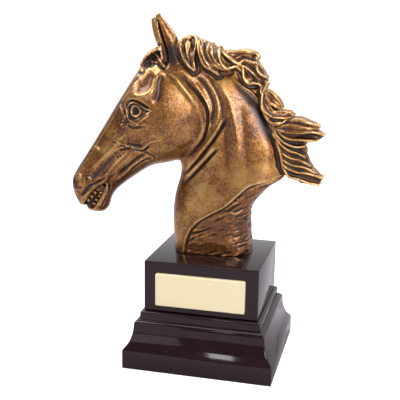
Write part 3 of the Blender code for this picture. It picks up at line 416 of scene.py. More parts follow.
# Folds of the skin on the side of the head and neck: a line (u, v), its width and how far it stands
# out (below zero, how deep it is cut).
FOLDS = [
    # Behind the jowl, then the creases of the throat.
    ([(-23.6, 195.6), (-17.1, 187.7), (-10.7, 181.4), (-6, 175), (-3.2, 168.6), (-3, 160.3), (-5.6, 151.9),
      (-11.1, 145), (-19.3, 137.1)], 0.75, -1.3),
    ([(-24, 196), (-10.7, 181.4), (-3.4, 168), (-4.4, 154.5), (-11.1, 145), (-20.5, 136.2)], 2.2, -0.7),
    ([(-14, 189), (-7.4, 180.6), (-2.6, 171.6), (-1.6, 162), (-3.6, 153.6)], 0.9, 0.9),
    ([(-11.8, 193.4), (-4.4, 184.8), (0.3, 175.2), (0.9, 168.7), (-1.2, 160.4)], 0.8, -1),
    ([(-7, 191.4), (0, 183), (4, 174), (4.6, 166.4), (2, 158.6)], 1.1, 0.7),
    ([(10.1, 165.9), (5.3, 155.7), (-0.9, 147.1), (-10, 136.6), (-20, 126)], 0.8, -1.7),
    ([(8.4, 167), (3.4, 157.2), (-2.7, 148.8), (-12, 138.4)], 0.9, 0.6),
    ([(5.1, 145.3), (-5.3, 134.3), (-21.3, 118.2)], 0.8, -1.6),
    ([(3.2, 147), (-7.2, 136.2), (-22.4, 121)], 0.9, 0.6),
    # The brow, the groove behind it and the dish of the forehead.
    ([(-32.7, 196.3), (-36.9, 193.1), (-39.8, 189.2), (-41, 184.8), (-43.7, 180.9), (-48, 178.8),
      (-52.4, 178.6), (-57.5, 178.8)], 2.7, 1.9),
    ([(-42, 193), (-44.6, 187.6), (-47.4, 183.9), (-52.8, 182.7)], 3, -0.6),
    ([(-34.1, 191.8), (-36.9, 190.2), (-38, 186.7), (-37.6, 182.3), (-38.5, 177.9), (-41.5, 173.6)],
     2.3, -1),
    ([(-42, 195), (-46, 190.5), (-48.4, 186.2), (-54, 184.2)], 5, -0.6),
    # The rim of the cheek.
    ([(-31.6, 194.4), (-26.4, 191), (-20.4, 184.6), (-14.4, 178), (-9.8, 171), (-7.2, 163), (-7.2, 155),
      (-10.6, 148)], 1.8, 0.8),
    # The crease over the eye, the lower lid, the tear line and the folds under the eye.
    ([(-58.9, 168.5), (-59.3, 171.1), (-59, 173.1), (-57.6, 174.8), (-55.1, 175.4), (-51.9, 174.7),
      (-48.7, 173.1), (-45.5, 171.5), (-42.7, 170.5)], 0.75, -1.4),
    ([(-59.2, 176), (-55, 176.9), (-49.9, 175.9), (-44.8, 173.5)], 0.6, 0.35),
    ([(-53.2, 162.4), (-49.6, 163.6), (-46.4, 165.6), (-43.9, 168.5)], 0.6, 0.5),
    ([(-56.4, 163.1), (-52.5, 162.8), (-49, 164.9), (-46.1, 167.4)], 0.5, -0.9),
    ([(-58.6, 164.5), (-60.6, 162.4), (-62.8, 160.1)], 0.5, -1.3),
    ([(-57.8, 162.9), (-60, 160.8), (-62.3, 158.5)], 0.5, -1.2),
    ([(-63, 174.9), (-62.6, 171), (-61.1, 167.5), (-60.4, 165)], 0.9, -0.8),
    ([(-63.7, 164.6), (-63.6, 161.7), (-62.7, 159.6)], 0.6, -0.6),
    ([(-59, 160), (-57.1, 158.9), (-55.1, 158), (-52.6, 158.5), (-48.7, 159.4)], 0.75, -0.8),
    ([(-53.2, 160.6), (-50, 160.3), (-46.8, 161.3)], 1, 0.3),
    # The cheek bone, forked towards the nose, with the pockets above and below it.
    ([(-68.9, 149.8), (-66.7, 148.5), (-63.8, 147), (-61.2, 146.2), (-58.2, 145.6), (-55, 144.8),
      (-51.7, 144.3), (-48.8, 144.6), (-46.9, 145.9), (-45.3, 147.7), (-42.8, 149.3), (-39.2, 150),
      (-34.9, 150.6)], 0.7, 0.7),
    ([(-68.4, 141.8), (-64.8, 143.5), (-61.5, 144.8), (-58.2, 145.6)], 0.7, 0.6),
    ([(-66.3, 148.3), (-63.1, 150.7), (-59.2, 154.4)], 1.3, 0.5),
    ([(-68.7, 148.6), (-67.3, 147.6), (-65.7, 147.1)], 0.5, -0.8),
    ([(-63.8, 145.8), (-61.8, 145.7), (-59.9, 145.5)], 0.55, -1.1),
    ([(-59.5, 148.1), (-57.9, 146.9), (-55.3, 146.4), (-52.1, 145.9), (-48.7, 146.1)], 1, -1.1),
    ([(-59.2, 149.7), (-55.3, 148.8), (-50.1, 148.2)], 2, -0.4),
    ([(-64.6, 142.2), (-61.8, 143.3), (-58.6, 144.2), (-56, 144)], 0.9, -0.9),
    ([(-56, 143.8), (-52.7, 143), (-50.1, 142.4), (-47.8, 142.8), (-45.8, 144.7), (-43.9, 146.3)], 0.7, -1),
    ([(-48.2, 142.3), (-44.2, 140.3), (-39.1, 137.4)], 0.8, -0.8),
    ([(-12.5, 149.7), (-18.2, 146.5), (-24, 143.4)], 1.6, -0.4),
    # Two nicks over the corner of the jaw.
    ([(-67.5, 140.9), (-66.2, 139), (-65, 137)], 0.5, -1.3),
    ([(-65.8, 141.5), (-64.6, 139.7), (-63.4, 137.7)], 0.5, -1.3),
    # Along the lower jaw.
    ([(-63.5, 147.9), (-68.1, 143.8), (-73.4, 138.4), (-78.8, 133), (-83.5, 128.2)], 1.8, 0.8),
    ([(-64.9, 140.9), (-69.5, 136.5), (-74.9, 131), (-80.2, 125.6), (-83.6, 121.5)], 1.7, -0.9),
    ([(-58.3, 141.7), (-62.9, 137.6), (-67.6, 132.7), (-71.9, 127.4), (-75.2, 123.2)], 1, 0.7),
    ([(-54.4, 141), (-59.6, 136.2), (-65, 131.1), (-69.3, 126)], 1.6, 0.4),
    ([(-46.8, 140.9), (-51.7, 137.3), (-57, 132.6), (-61.7, 127.9), (-65.7, 124.1)], 1, -1.2),
    ([(-44.4, 139), (-50.4, 135.2), (-56.4, 130.3), (-62.4, 124.7), (-67, 120.3)], 1.1, 0.5),
    ([(-42.3, 136.8), (-47.1, 136.1), (-52.4, 132.4), (-57.7, 127.9)], 1, -0.9),
    ([(-72.6, 151.7), (-76, 147), (-79.3, 142.3)], 2.2, -0.5),
    ([(-64.1, 156.4), (-68.7, 151.1), (-73.4, 145.1), (-78.7, 138.4)], 2.4, 0.5),
    # The edge of the flat nose bone: a line cut beside a thin ridge.
    ([(-50.6, 192.8), (-59.5, 180.7), (-67.7, 167.6), (-75.7, 154.2), (-83.7, 140.8), (-92.1, 127.4)],
     0.6, -0.9),
    ([(-49.3, 192.8), (-58.2, 180.8), (-66.4, 167.6), (-74.4, 154.2), (-82.5, 140.8), (-90.7, 127.4)],
     0.7, 0.5),
    # The lips and the furrows beside them.
    ([(-91.6, 106.9), (-87.6, 110.9), (-83.6, 114.9), (-79.8, 118.1), (-76.5, 120), (-74, 121.8),
      (-71.6, 125), (-68.9, 128.4)], 1.4, 1),
    ([(-82.6, 119.4), (-79.9, 121.9), (-77, 123.6), (-74.4, 125.4), (-69.7, 130.2)], 1.3, 0.7),
    ([(-73.7, 120), (-72.8, 117.3), (-73.1, 113.9), (-74.6, 110), (-77.1, 105.5), (-79.4, 101.6)], 0.65, 0.9),
    ([(-71.8, 119.1), (-71.6, 115.9), (-72.1, 112.8), (-74.1, 109), (-76.1, 105.1), (-77.5, 102)], 0.7, -1.5),
    ([(-90.6, 110.2), (-88, 113.3), (-85.4, 116.3), (-82.7, 118.9)], 1.2, -1),
    ([(-83.6, 117.4), (-79.9, 120.2), (-76.2, 122.2)], 0.6, -0.8),
    # The wrinkles of the muzzle.
    ([(-88.9, 124.2), (-87.6, 124.1), (-86.7, 122.6), (-87, 120.6), (-87.8, 118.5)], 0.8, -0.3),
    ([(-90.2, 126.4), (-91, 125.2)], 0.7, -0.25),
    ([(-84.9, 124), (-83.7, 123.7), (-82.8, 122.4)], 0.7, -0.25),
    ([(-92.4, 116), (-90.4, 116), (-89.2, 117.4)], 0.7, -0.3),
    ([(-92.9, 113.8), (-91.3, 112.5)], 0.7, -0.3),
    ([(-83.3, 127.1), (-80.7, 124.7), (-78, 124.3)], 1, -0.3),
    # The dark cup of the forelock and its lower edge.
    ([(-37, 205), (-41, 204.4), (-45, 201.6), (-48.6, 197.6)], 2.6, -1.2),
    ([(-51.1, 195.2), (-46.8, 198.2), (-43.5, 199.5), (-39.4, 199.1), (-34.7, 196.5), (-31.3, 194.6)],
     0.6, -1),
    # The muscles of the neck.
    ([(-7.9, 193.6), (0, 183.7), (5.1, 173), (8.7, 160.2), (10.4, 143.9), (13.6, 124.1)], 3.6, -1),
    ([(-0.2, 190), (8.9, 179.5), (13.8, 166.9), (16.9, 150.8), (18.6, 134.4)], 3.2, 0.8),
    ([(16.1, 177.9), (19, 167.1), (21.5, 154.3), (24.2, 138), (26.1, 118.2)], 3.4, -0.4),
    ([(24, 178), (31, 166), (36.5, 151), (40, 136)], 4.6, 0.6),
    ([(-6, 160), (0, 141), (-1, 122), (-6, 100)], 6, 0.6),
    # The sharp edge where the neck's skin meets the hair.
    (CREST_LINE, 0.7, 0.9),
]

# Where the colour is darkened although nothing is cut, each a line (u, v), its width and how dark it is: the
# stain in the nostril and the cup of the forelock, darker bands over the ear and the forehead, painted shadow
# of the mane along the crest and under its locks, and painted shade with a little stain over the mane's fan.
STAIN_AND_SHADOW_LINES = [
    ([(-96.6, 122.6), (-95.4, 118.7), (-94.2, 114.8)], 1.7, 1.6),
    ([(-37.5, 205.5), (-41, 204.6), (-45, 201.8), (-49, 197.6)], 2.8, 0.6),
    ([(-32, 212), (-29, 204), (-26, 198)], 5, 0.4),
    # The next two are painted shadow: of the mane along the crest, then under the tips of the lying locks.
    ([(13.7, 190.2), (18.5, 182.7), (25.6, 174.6), (31.8, 164), (35.8, 155.1), (41.6, 146.3)], 2.4, 0.45),
    ([(-11, 195), (-4, 193.5), (4, 191.5), (12, 191)], 1.6, 0.3),
    ([(-38, 226), (-33, 213), (-27, 200)], 4.5, 0.28),
    ([(-42.6, 191.5), (-44.4, 186.8), (-47.4, 183.7), (-51.8, 182.7)], 2.2, 0.08),
    # Painted shade over the mane's fan, with a little stain.
    ([(40, 158), (52, 145), (62, 130)], 12, 0.18),
]

# Round forms pushed out or in on both sides of the head: middle (u, w, v), radius and height.
SWELLS = [
    ((-31, 21, 164), 17, 1.8),
    ((-45, 22, 180), 6, 1),
    ((-52.5, 21.5, 168.6), 6, -0.8),
    ((-67, 15, 162), 8, -0.8),
    ((-90, 11.5, 118.5), 5, 1.2),
    ((-61, 14, 127), 6, -0.6),
    ((-96.2, 6, 118.4), 2.4, -3.4),
]

# The eye: its outline (u, v) round the lids, the middle of the pupil and the radii of ball, iris and pupil.
EYE = [(-58.1, 164.4), (-58.8, 168), (-58.2, 171.6), (-55.8, 173.7), (-52.8, 173.8), (-49.6, 172.2),
       (-46.2, 169.9), (-43.8, 169.6), (-46.3, 168), (-49.6, 165.2), (-53.5, 163.2), (-56.4, 163),
       (-58.1, 164.4)]
PUPIL = (-53.6, 169)
EYE_BALL = 6.4
IRIS = 3.15
PUPIL_RADIUS = 2.3
LID_RIM = 0.75
SOCKET_DEPTH = 1.7
BALL_RISE = 1.5
IRIS_RING = 0.4
PUPIL_DEPTH = 1.6

# The open mouth: a slot between the lips, and two rows of teeth in it.
MOUTH = [(-85.4, 103.2), (-82.4, 107.4), (-79.6, 111.4), (-76.9, 115.2), (-75.4, 117.6)]
MOUTH_WIDTHS = [4, 3.3, 1.6]
MOUTH_DEPTH = 3.6
MOUTH_FRONT = [(-84, 9, 103.5), (-88.5, 6, 101.6), (-90, 0, 100.4)]
UPPER_TEETH = [(-86.2, 106.8), (-82, 111.1), (-78.2, 114.9), (-76.2, 116.6)]
LOWER_TEETH = [(-81.9, 103.6), (-78.8, 108), (-76.3, 112.3), (-75, 115)]
TEETH = 6
TOOTH = (0.78, 1.8, 1.25)
TOOTH_SET = 2.9

# The torn edge of the skin across the neck, with the rough core set back below it.
SKIN_EDGE = [(62, 121.5), (47.8, 128.1), (39.8, 124.7), (27.1, 121.5), (19, 114.3), (10.9, 106.5),
             (1, 100.9), (-8.1, 95.4), (-13.3, 90.2), (-16.5, 83.9), (-18.5, 76), (-20, 64)]
SKIN_THICKNESS = 1.6
SKIN_LIP = 0.35
SKIN_GROOVE = 0.6

# The core's lumps, chips and flat strokes, and the ragged foot, with the height where it ends.
LUMPS = 0.55
CHIPS = 0.14
STROKES = 0.5
FOOT_CUT = 0.4
FOOT_TOP = 70.0

# The mane between its ridges: the reach of the hair round a ridge, how deep it is scooped, and the fine
# lines that the carver's comb left along it.
HAIR_REACH = 4
SCOOP = 0.9
COMB_PITCH = 1.3
COMB_DEPTH = 0.08

# How dark a cut of each width keeps its stain, then the pupil, mouth, ears and a plain surface.
STAIN_WIDTHS = [0.85, 0.95, 2, 3]
STAIN_DEPTHS = [0.5, 0.2, 0.2, 0.03]
PUPIL_STAIN = 0.9
MOUTH_STAIN = 0.6
EAR_STAIN = 0.55
PLAIN_STAIN = 0.2
STAIN_REACH = 0.5

# Rounds of smoothing that take out forms of about 1 mm and of about 5 mm.
FINE_ROUNDS = 8
BROAD_ROUNDS = 120


def spline(rows, steps):
    """A smooth curve through the rows, each a point or any set of sizes."""
    rows = np.array(rows, float)
    padded = np.vstack([2 * rows[0] - rows[1], rows, 2 * rows[-1] - rows[-2]])
    t = np.linspace(0, 1, steps, endpoint=False)[:, None]
    spans = []
    for a, b, c, d in zip(padded, padded[1:], padded[2:], padded[3:]):
        cubic = 3 * (b - c) + d - a
        square = 2 * a - 5 * b + 4 * c - d
        spans.append(b + 0.5 * t * (c - a + t * (square + t * cubic)))
    return np.vstack(spans + [rows[-1:]])


def nearest(points, line):
    """For each point: how far the line is, how far along it (0 to 1) and on which side."""
    best = np.full(len(points), np.inf)
    place = np.zeros(len(points))
    side = np.zeros(len(points))
    for index, (start, step) in enumerate(zip(line[:-1], np.diff(line, axis=0))):
        offset = points - start
        share = np.clip(offset @ step / (step @ step), 0, 1)
        gap = ((offset - share[:, None] * step) ** 2).sum(1)
        closer = gap < best
        best[closer] = gap[closer]
        place[closer] = (index + share[closer]) / (len(line) - 1)
        side[closer] = np.sign(step[0] * offset[closer, 1] - step[1] * offset[closer, 0])
    return np.sqrt(best), place, side


def smooth_step(value, low, high):
    """0 below low, 1 above high and an even slope between."""
    t = np.clip((value - low) / (high - low), 0, 1)
    return t * t * (3 - 2 * t)


def unit(vectors):
    return vectors / np.maximum(np.linalg.norm(vectors, axis=-1, keepdims=True), 1e-9)


def skin_rings(bm, rings):
    """A closed tube through the rings, each a row of points around it."""
    rings = np.concatenate([rings, rings[:, :1]], axis=1)
    grid = bmesh.ops.create_grid(bm, x_segments=rings.shape[1] - 1, y_segments=len(rings) - 1, size=1)
    for vert, place in zip(grid["verts"], rings.reshape(-1, 3)):
        vert.co = place
    bmesh.ops.remove_doubles(bm, verts=grid["verts"], dist=1e-6)
    bmesh.ops.holes_fill(bm, edges=[edge for edge in bm.edges if edge.is_boundary], sides=0)


def clay_of(bm, name):
    """The mesh of what is modelled so far, with its skin facing outwards."""
    bmesh.ops.recalc_face_normals(bm, faces=bm.faces)
    mesh = bpy.data.meshes.new(name)
    bm.to_mesh(mesh)
    bm.free()
    return mesh


def modified(mesh, *settings):
    """A new mesh: this one after the modifiers, each given as its kind and its values."""
    lump = bpy.data.objects.new("clay", mesh)
    bpy.context.scene.collection.objects.link(lump)
    for kind, values in settings:
        modifier = lump.modifiers.new(kind.title(), kind)
        for key, value in values.items():
            setattr(modifier, key, value)
    graph = bpy.context.evaluated_depsgraph_get()
    result = bpy.data.meshes.new_from_object(lump.evaluated_get(graph))
    bpy.data.objects.remove(lump)
    return result


def remeshed(mesh, fineness, passes):
    """One even skin over all that the mesh holds, smoothed a little."""
    clay = ("REMESH", {"mode": "VOXEL", "voxel_size": fineness})
    return modified(mesh, clay, ("SMOOTH", {"factor": 0.5, "iterations": passes}))


def points_of(mesh):
    flat = np.empty(len(mesh.vertices) * 3, np.float32)
    mesh.vertices.foreach_get("co", flat)
    return flat.reshape(-1, 3).astype(float)


def normals_of(mesh):
    flat = np.empty(len(mesh.vertices) * 3, np.float32)
    mesh.vertex_normals.foreach_get("vector", flat)
    return flat.reshape(-1, 3).astype(float)


def place_points(mesh, points):
    mesh.vertices.foreach_set("co", points.astype(np.float32).ravel())
    mesh.update()


def section(top, bottom, half, square, flare, sides=48):
    """A rounded section between two points of the profile, wider at the top where flare is above zero."""
    turn = np.linspace(0, 2 * math.pi, sides, endpoint=False)
    along = np.sign(np.cos(turn)) * np.abs(np.cos(turn)) ** (2 / square)
    across = np.sign(np.sin(turn)) * np.abs(np.sin(turn)) ** (2 / square)
    centre = (top + bottom) / 2
    outline = centre + np.outer(along, (top - bottom) / 2)
    return np.column_stack([outline[:, 0], half * across * (1 + flare * along), outline[:, 1]])


def add_body(bm, stations):
    """A head or neck through its stations."""
    rows = spline(stations, 6)
    rings = [section(row[0:2], row[2:4], row[4], row[5], row[6]) for row in rows]
    skin_rings(bm, np.array(rings))


def add_ear(bm, place=(0, 0, 0), lean=(0, 0, 0), mirror=1, sides=24):
    """An ear as a solid blade, moved to its place and leaning more towards its tip."""
    rows = spline(EAR, 6)
    turn = np.linspace(0, 2 * math.pi, sides, endpoint=False)
    rings = []
    for height, front, back, half, middle in rows:
        share = (height - rows[0][0]) / (rows[-1][0] - rows[0][0])
        u = (front + back) / 2 + (back - front) / 2 * np.cos(turn) + place[0] + lean[0] * share
        w = mirror * (middle + half * np.sin(turn))
        rings.append(np.column_stack([u, w, np.full(sides, height + lean[2] * share)]))
    skin_rings(bm, np.array(rings))


def add_tube(bm, centres, normals, widths, heights, sides=16):
    """A tube of oval section along its centres, flat to the surface whose normals are given."""
    forward = unit(np.gradient(centres, axis=0))
    across = unit(np.cross(forward, normals))
    upward = np.cross(across, forward)
    turn = np.linspace(0, 2 * math.pi, sides, endpoint=False)
    rings = (centres[:, None]
             + np.cos(turn)[None, :, None] * (widths[:, None] * across)[:, None]
             + np.sin(turn)[None, :, None] * (heights[:, None] * upward)[:, None])
    skin_rings(bm, rings)


def skin_of(mesh):
    return BVHTree.FromPolygons([v.co for v in mesh.vertices], [tuple(p.vertices) for p in mesh.polygons])


def draped(skin, line, side, outside=60):
    """Where a line in the profile lies on the bust, seen from one side, and the surface's normals there."""
    w = np.full(len(line), np.nan)
    normals = np.tile((0.0, side, 0.0), (len(line), 1))
    for index, (u, v) in enumerate(line):
        place, normal, _, _ = skin.ray_cast(Vector((u, side * outside, v)), Vector((0, -side, 0)))
        if place is not None:
            w[index] = place.y
            normals[index] = normal
    known = np.flatnonzero(~np.isnan(w))
    w = np.interp(np.arange(len(w)), known, w[known])
    kernel = np.ones(5) / 5
    w = np.convolve(np.pad(w, 2, "edge"), kernel, "valid")
    normals = np.column_stack([np.convolve(np.pad(n, 2, "edge"), kernel, "valid") for n in normals.T])
    return np.column_stack([line[:, 0], w, line[:, 1]]), unit(normals)


def add_lock(bm, skin, line, width, height, side):
    """A lock of hair lying on the neck, fullest near its root."""
    centres, normals = draped(skin, spline(line, 5), side)
    size = np.interp(np.linspace(0, 1, len(centres)), [0, 0.3, 0.6, 0.85, 1], [0.55, 1, 0.95, 0.62, 0.22])
    lifted = centres + normals * (0.35 * height * size)[:, None]
    add_tube(bm, lifted, normals, width * size, height * size)


def add_free_lock(bm, line, width, height, side):
    """A lock of hair that stands free of the neck and ends in a blunt tip."""
    centres = spline(line, 5)[:, [0, 2, 1]] * (1, -side, 1)
    size = np.interp(np.linspace(0, 1, len(centres)), [0, 0.3, 0.7, 1], [0.8, 1.0, 1.0, 0.85])
    size *= np.sqrt(1 - np.linspace(0, 0.98, len(centres)) ** 7)
    sideways = np.tile((0.0, side, 0.0), (len(centres), 1))
    add_tube(bm, centres, sideways, width * size, height * size)


def add_ridge(bm, skin, line, width, height, side):
    """A sharp edge of hair lying on the lock under it."""
    centres, normals = draped(skin, spline(line, 6), side)
    size = np.interp(np.linspace(0, 1, len(centres)), [0, 0.15, 0.85, 1], [0.5, 1, 1, 0.5])
    add_tube(bm, centres + normals * 0.2 * height, normals, width * size, height * size, 10)


def press(points, facing, line, width, height):
    """How much each point gets of a soft band along a line in the profile, by how far it faces sideways."""
    curve = spline(line, 6)
    reach = 3 * width
    flat = points[:, [0, 2]]
    near = ((flat > curve.min(0) - reach) & (flat < curve.max(0) + reach)).all(1)
    gap, place, _ = nearest(flat[near], curve)
    ends = smooth_step(np.minimum(place, 1 - place), -0.02, 0.16)
    moved = np.zeros(len(points))
    moved[near] = height * ends * facing[near] * np.exp(-((gap / width) ** 2))
    return moved


def swell(points, middle, radius, height):
    """How far a round form moves each point, on both sides of the head."""
    gap = np.linalg.norm(points * (1, 0, 1) + (0, 1, 0) * np.abs(points[:, 1:2]) - middle, axis=1)
    return height * np.exp(-((gap / radius) ** 2))


def carve_ears(points):
    """The hollow of each ear, open to the front and outwards."""
    share = np.clip((points[:, 2] - EAR[0][0]) / (EAR[-1][0] - EAR[0][0]), 0, 1)
    shift = np.where(points[:, 1:2] > 0, share[:, None] * FAR_EAR_LEAN + FAR_EAR_PLACE, 0)
    mirrored = points * (1, 0, 1) + (0, 1, 0) * np.abs(points[:, 1:2]) - shift
    gap, place, _ = nearest(mirrored, spline(EAR_SLIT, 5))
    width = np.interp(place, [0, 0.35, 1], [1.5, 1.9, 1.1])
    return smooth_step(place, -0.05, 0.2) * np.exp(-((gap / width) ** 4))


def carve_eyes(points, normals):
    """The eye in its socket: the lids' rim, a gap round the ball, the ring of the iris and the pupil. It
    gives how far each point moves and how dark it is stained."""
    flat = points[:, [0, 2]]
    near = np.linalg.norm(flat - PUPIL, axis=1) < 14
    facing = smooth_step(np.abs(normals[near, 1]), 0.3, 0.6)
    gap, _, side = nearest(flat[near], spline(EYE, 5))
    inside = gap * -side
    out = np.linalg.norm((flat[near] - PUPIL) * (1.05, 0.9), axis=1)
    behind = smooth_step(flat[near, 0] - PUPIL[0], 2.2, 4.0)
    sunk = smooth_step(inside, -0.2, 0.6)
    ball = np.sqrt(np.clip(1 - (out / EYE_BALL) ** 2, 0, 1))
    ring = np.exp(-(((out - IRIS) / 0.45) ** 2))
    pupil = np.exp(-((out / PUPIL_RADIUS) ** 6))
    height = LID_RIM * np.exp(-((inside + 0.35) / 0.5) ** 2)
    height += sunk * (BALL_RISE * ball - SOCKET_DEPTH + IRIS_RING * ring) - PUPIL_DEPTH * pupil
    moved, dark = np.zeros(len(points)), np.zeros(len(points))
    moved[near] = height * facing
    rim = np.exp(-(((inside - 0.55) / 0.45) ** 2))
    wide = smooth_step(out, IRIS + 0.3, IRIS + 0.9) * sunk * (1 - 0.7 * behind)
    dark[near] = facing * np.maximum(np.maximum(pupil, 0.9 * rim), 0.9 * wide)
    return moved, dark


def carve_mouth(points, normals):
    """The slot between the lips: straight in from each side, and round the front. It gives its share of
    the full depth."""
    gap, place, _ = nearest(points[:, [0, 2]], spline(MOUTH, 6))
    width = np.interp(place, [0, 0.5, 1], MOUTH_WIDTHS)
    side = smooth_step(np.abs(normals[:, 1]), 0.2, 0.6) * (1 - smooth_step(gap / width, 0.8, 1.1))
    mirrored = np.column_stack([points[:, 0], np.abs(points[:, 1]), points[:, 2]])
    gap, _, _ = nearest(mirrored, spline(MOUTH_FRONT, 5))
    front = np.exp(-((gap / 1.8) ** 2))
    return np.maximum(side, 0.7 * front)


def carve_skin_edge(points):
    """Above the torn edge the skin has a lip, and below it the core lies deeper."""
    gap, _, side = nearest(points[:, [0, 2]], spline(SKIN_EDGE, 4))
    depth = gap * side
    below = smooth_step(depth, -0.3, 0.4)
    moved = SKIN_LIP * np.exp(-((gap / 1.4) ** 2)) * (1 - below) - SKIN_THICKNESS * below
    groove = SKIN_GROOVE * np.exp(-(((depth - 0.8) / 0.6) ** 2))
    return moved - groove, smooth_step(depth, 0.4, 2.0)


def comb_mane(points, normals):
    """The scooped hollows between the ridges of the mane, with the fine lines of the tool along them. It
    gives how far each point moves and how dark it is stained."""
    gap = np.full(len(points), 9.0)
    flat = points[:, [0, 2]]
    for line, _, _ in RIDGES:
        curve = spline(line, 5)
        near = ((flat > curve.min(0) - HAIR_REACH) & (flat < curve.max(0) + HAIR_REACH)).all(1)
        gap[near] = np.minimum(gap[near], nearest(flat[near], curve)[0])
    facing = smooth_step(np.abs(normals[:, 1]), 0.1, 0.4)
    hair = facing * (1 - smooth_step(gap, 2.6, HAIR_REACH))
    hollow = smooth_step(gap, 0.6, 1.9)
    lines = np.cos(2 * math.pi * gap / COMB_PITCH) * smooth_step(gap, 0.7, 1.3)
    return hair * (COMB_DEPTH * lines - SCOOP * hollow), hair * (0.02 + 0.18 * hollow)


def rough_core(points, amount):
    """The core under the skin: lumpy clay with a few flat strokes across it, and a ragged foot. It gives
    how far each point moves and how dark it is stained."""
    moved, dark = np.zeros(len(points)), np.zeros(len(points))
    for index in np.flatnonzero(amount > 0.01):
        u, w, v = points[index]
        lumps = noise.fractal(Vector((u * 0.07, w * 0.09, v * 0.12)), 1.0, 2.0, 3)
        tilt = v - 0.35 * u
        stroke = noise.noise(Vector((u * 0.1, w * 0.1, tilt * 0.62)))
        chip = noise.noise(Vector((u * 0.3, w * 0.3, tilt * 0.8 + 20)))
        cut = smooth_step(stroke + 0.25 * chip, 0.16, 0.42)
        foot = smooth_step(FOOT_TOP + 1.2 * lumps - v, -0.6, 1.0)
        moved[index] = amount[index] * (LUMPS * lumps + CHIPS * chip - STROKES * cut - FOOT_CUT * foot)
        dark[index] = amount[index] * min(0.1 + 0.4 * cut + 0.55 * foot, 1)
    return moved, dark


def add_teeth(bm, skin, line, side):
    """A row of teeth along one side of the mouth, standing across the gap behind the lip."""
    centres, normals = draped(skin, spline(line, 8), side)
    along = unit(np.gradient(centres, axis=0))
    for index in np.linspace(0, len(centres) - 1, TEETH).round().astype(int):
        axes = np.column_stack([along[index], normals[index], np.cross(along[index], normals[index])])
        place = Matrix(axes * TOOTH).to_4x4()
        place.translation = centres[index] - TOOTH_SET * normals[index]
        bmesh.ops.create_cube(bm, size=2, matrix=place)


def turned(points):
    """The head's turn: the grid's points bent round the neck towards the plate's side."""
    radius = TURN_LENGTH / TURN
    run = np.maximum(TURN_FROM - points[:, 0], 0)
    bend = TURN * np.minimum(run, TURN_LENGTH) / TURN_LENGTH
    rest = np.maximum(run - TURN_LENGTH, 0)
    u = np.where(run > 0, TURN_FROM - radius * np.sin(bend) - rest * math.cos(TURN), points[:, 0])
    w = -radius * (1 - np.cos(bend)) - rest * math.sin(TURN)
    return np.column_stack([u - points[:, 1] * np.sin(bend), w + points[:, 1] * np.cos(bend), points[:, 2]])


bm = bmesh.new()
add_body(bm, HEAD)
add_body(bm, NECK)
rows = spline(CREST, 5)
middle = np.column_stack([rows[:, 0], np.zeros(len(rows)), rows[:, 1]])
add_tube(bm, middle, np.tile((0.0, -1.0, 0.0), (len(rows), 1)), rows[:, 3], rows[:, 2])
form = remeshed(clay_of(bm, "form"), ROUGHING, 10)
skin = skin_of(form)

bm = bmesh.new()
add_ear(bm)
add_ear(bm, FAR_EAR_PLACE, FAR_EAR_LEAN, -1)
for side in (-1, 1):
    for lock in LOCKS:
        add_lock(bm, skin, *lock, side)
    for lock in FREE_LOCKS:
        add_free_lock(bm, *lock, side)
for lock in FORELOCK:
    add_free_lock(bm, *lock, -1)
bm.from_mesh(form)
clay = remeshed(clay_of(bm, "clay"), MODELLING, 2)
skin = skin_of(clay)

bm = bmesh.new()
for side in (-1, 1):
    for ridge in RIDGES:
        add_ridge(bm, skin, *ridge, side)
bm.from_mesh(clay)
clay = remeshed(clay_of(bm, "ridged clay"), FINISHING, 1)

points, normals = points_of(clay), normals_of(clay)
moved = sum(swell(points, *form) for form in SWELLS)
# Darkness from the lines above: stain, with painted shadow under the mane and painted shade over its fan.
stain_and_shadow = sum(press(points, np.ones(len(points)), *line) for line in STAIN_AND_SHADOW_LINES)
sideways = smooth_step(np.abs(normals[:, 1]), 0.15, 0.5)
for fold in FOLDS:
    pressed = press(points, sideways, *fold)
    moved += pressed
    stain_and_shadow += np.interp(fold[1], STAIN_WIDTHS, STAIN_DEPTHS) * np.maximum(-pressed, 0)
ears, mouth = carve_ears(points), carve_mouth(points, normals)
eyes, pupils = carve_eyes(points, normals)
edge, core = carve_skin_edge(points)
combed, shade = comb_mane(points, normals)
moved += eyes - EAR_DEPTH * ears - MOUTH_DEPTH * mouth + combed + edge
torn, strokes = rough_core(points, core)
moved += torn
stain_and_shadow += shade + PUPIL_STAIN * pupils + MOUTH_STAIN * mouth + EAR_STAIN * ears + strokes
stain_and_shadow = np.clip(stain_and_shadow, 0, 1)
stained = KDTree(len(points))
for index, point in enumerate(points + normals * moved[:, None]):
    stained.insert(point, index)
stained.balance()
place_points(clay, points + normals * moved[:, None])

bm = bmesh.new()
for side in (-1, 1):
    for line in (UPPER_TEETH, LOWER_TEETH):
        add_teeth(bm, skin, line, side)
bm.from_mesh(clay)
clay = remeshed(clay_of(bm, "carved clay"), FINISHING, 0)

# How far each point stands out of the skin smoothed over about 1 mm and over about 5 mm: the stain settles in
# the hollows, and the brush leaves the gold on the high places. The 5 mm measure also darkens wide hollows,
# such as under the mane's hem, as painted shade.
found = [stained.find(point) for point in points_of(clay)]
relief = {"stain_and_shadow": np.array([stain_and_shadow[index] if gap < STAIN_REACH else PLAIN_STAIN
                             for _, index, gap in found])}
for name, rounds in (("fine_relief", FINE_ROUNDS), ("broad_relief", BROAD_ROUNDS)):
    smoothed = modified(clay, ("SMOOTH", {"factor": 0.5, "iterations": rounds}))
    relief[name] = ((points_of(clay) - points_of(smoothed)) * normals_of(clay)).sum(1)
carved = points_of(clay)

share = CAST_TRIANGLES / (2 * len(clay.polygons))
clay = modified(clay, ("TRIANGULATE", {}), ("DECIMATE", {"ratio": share}))

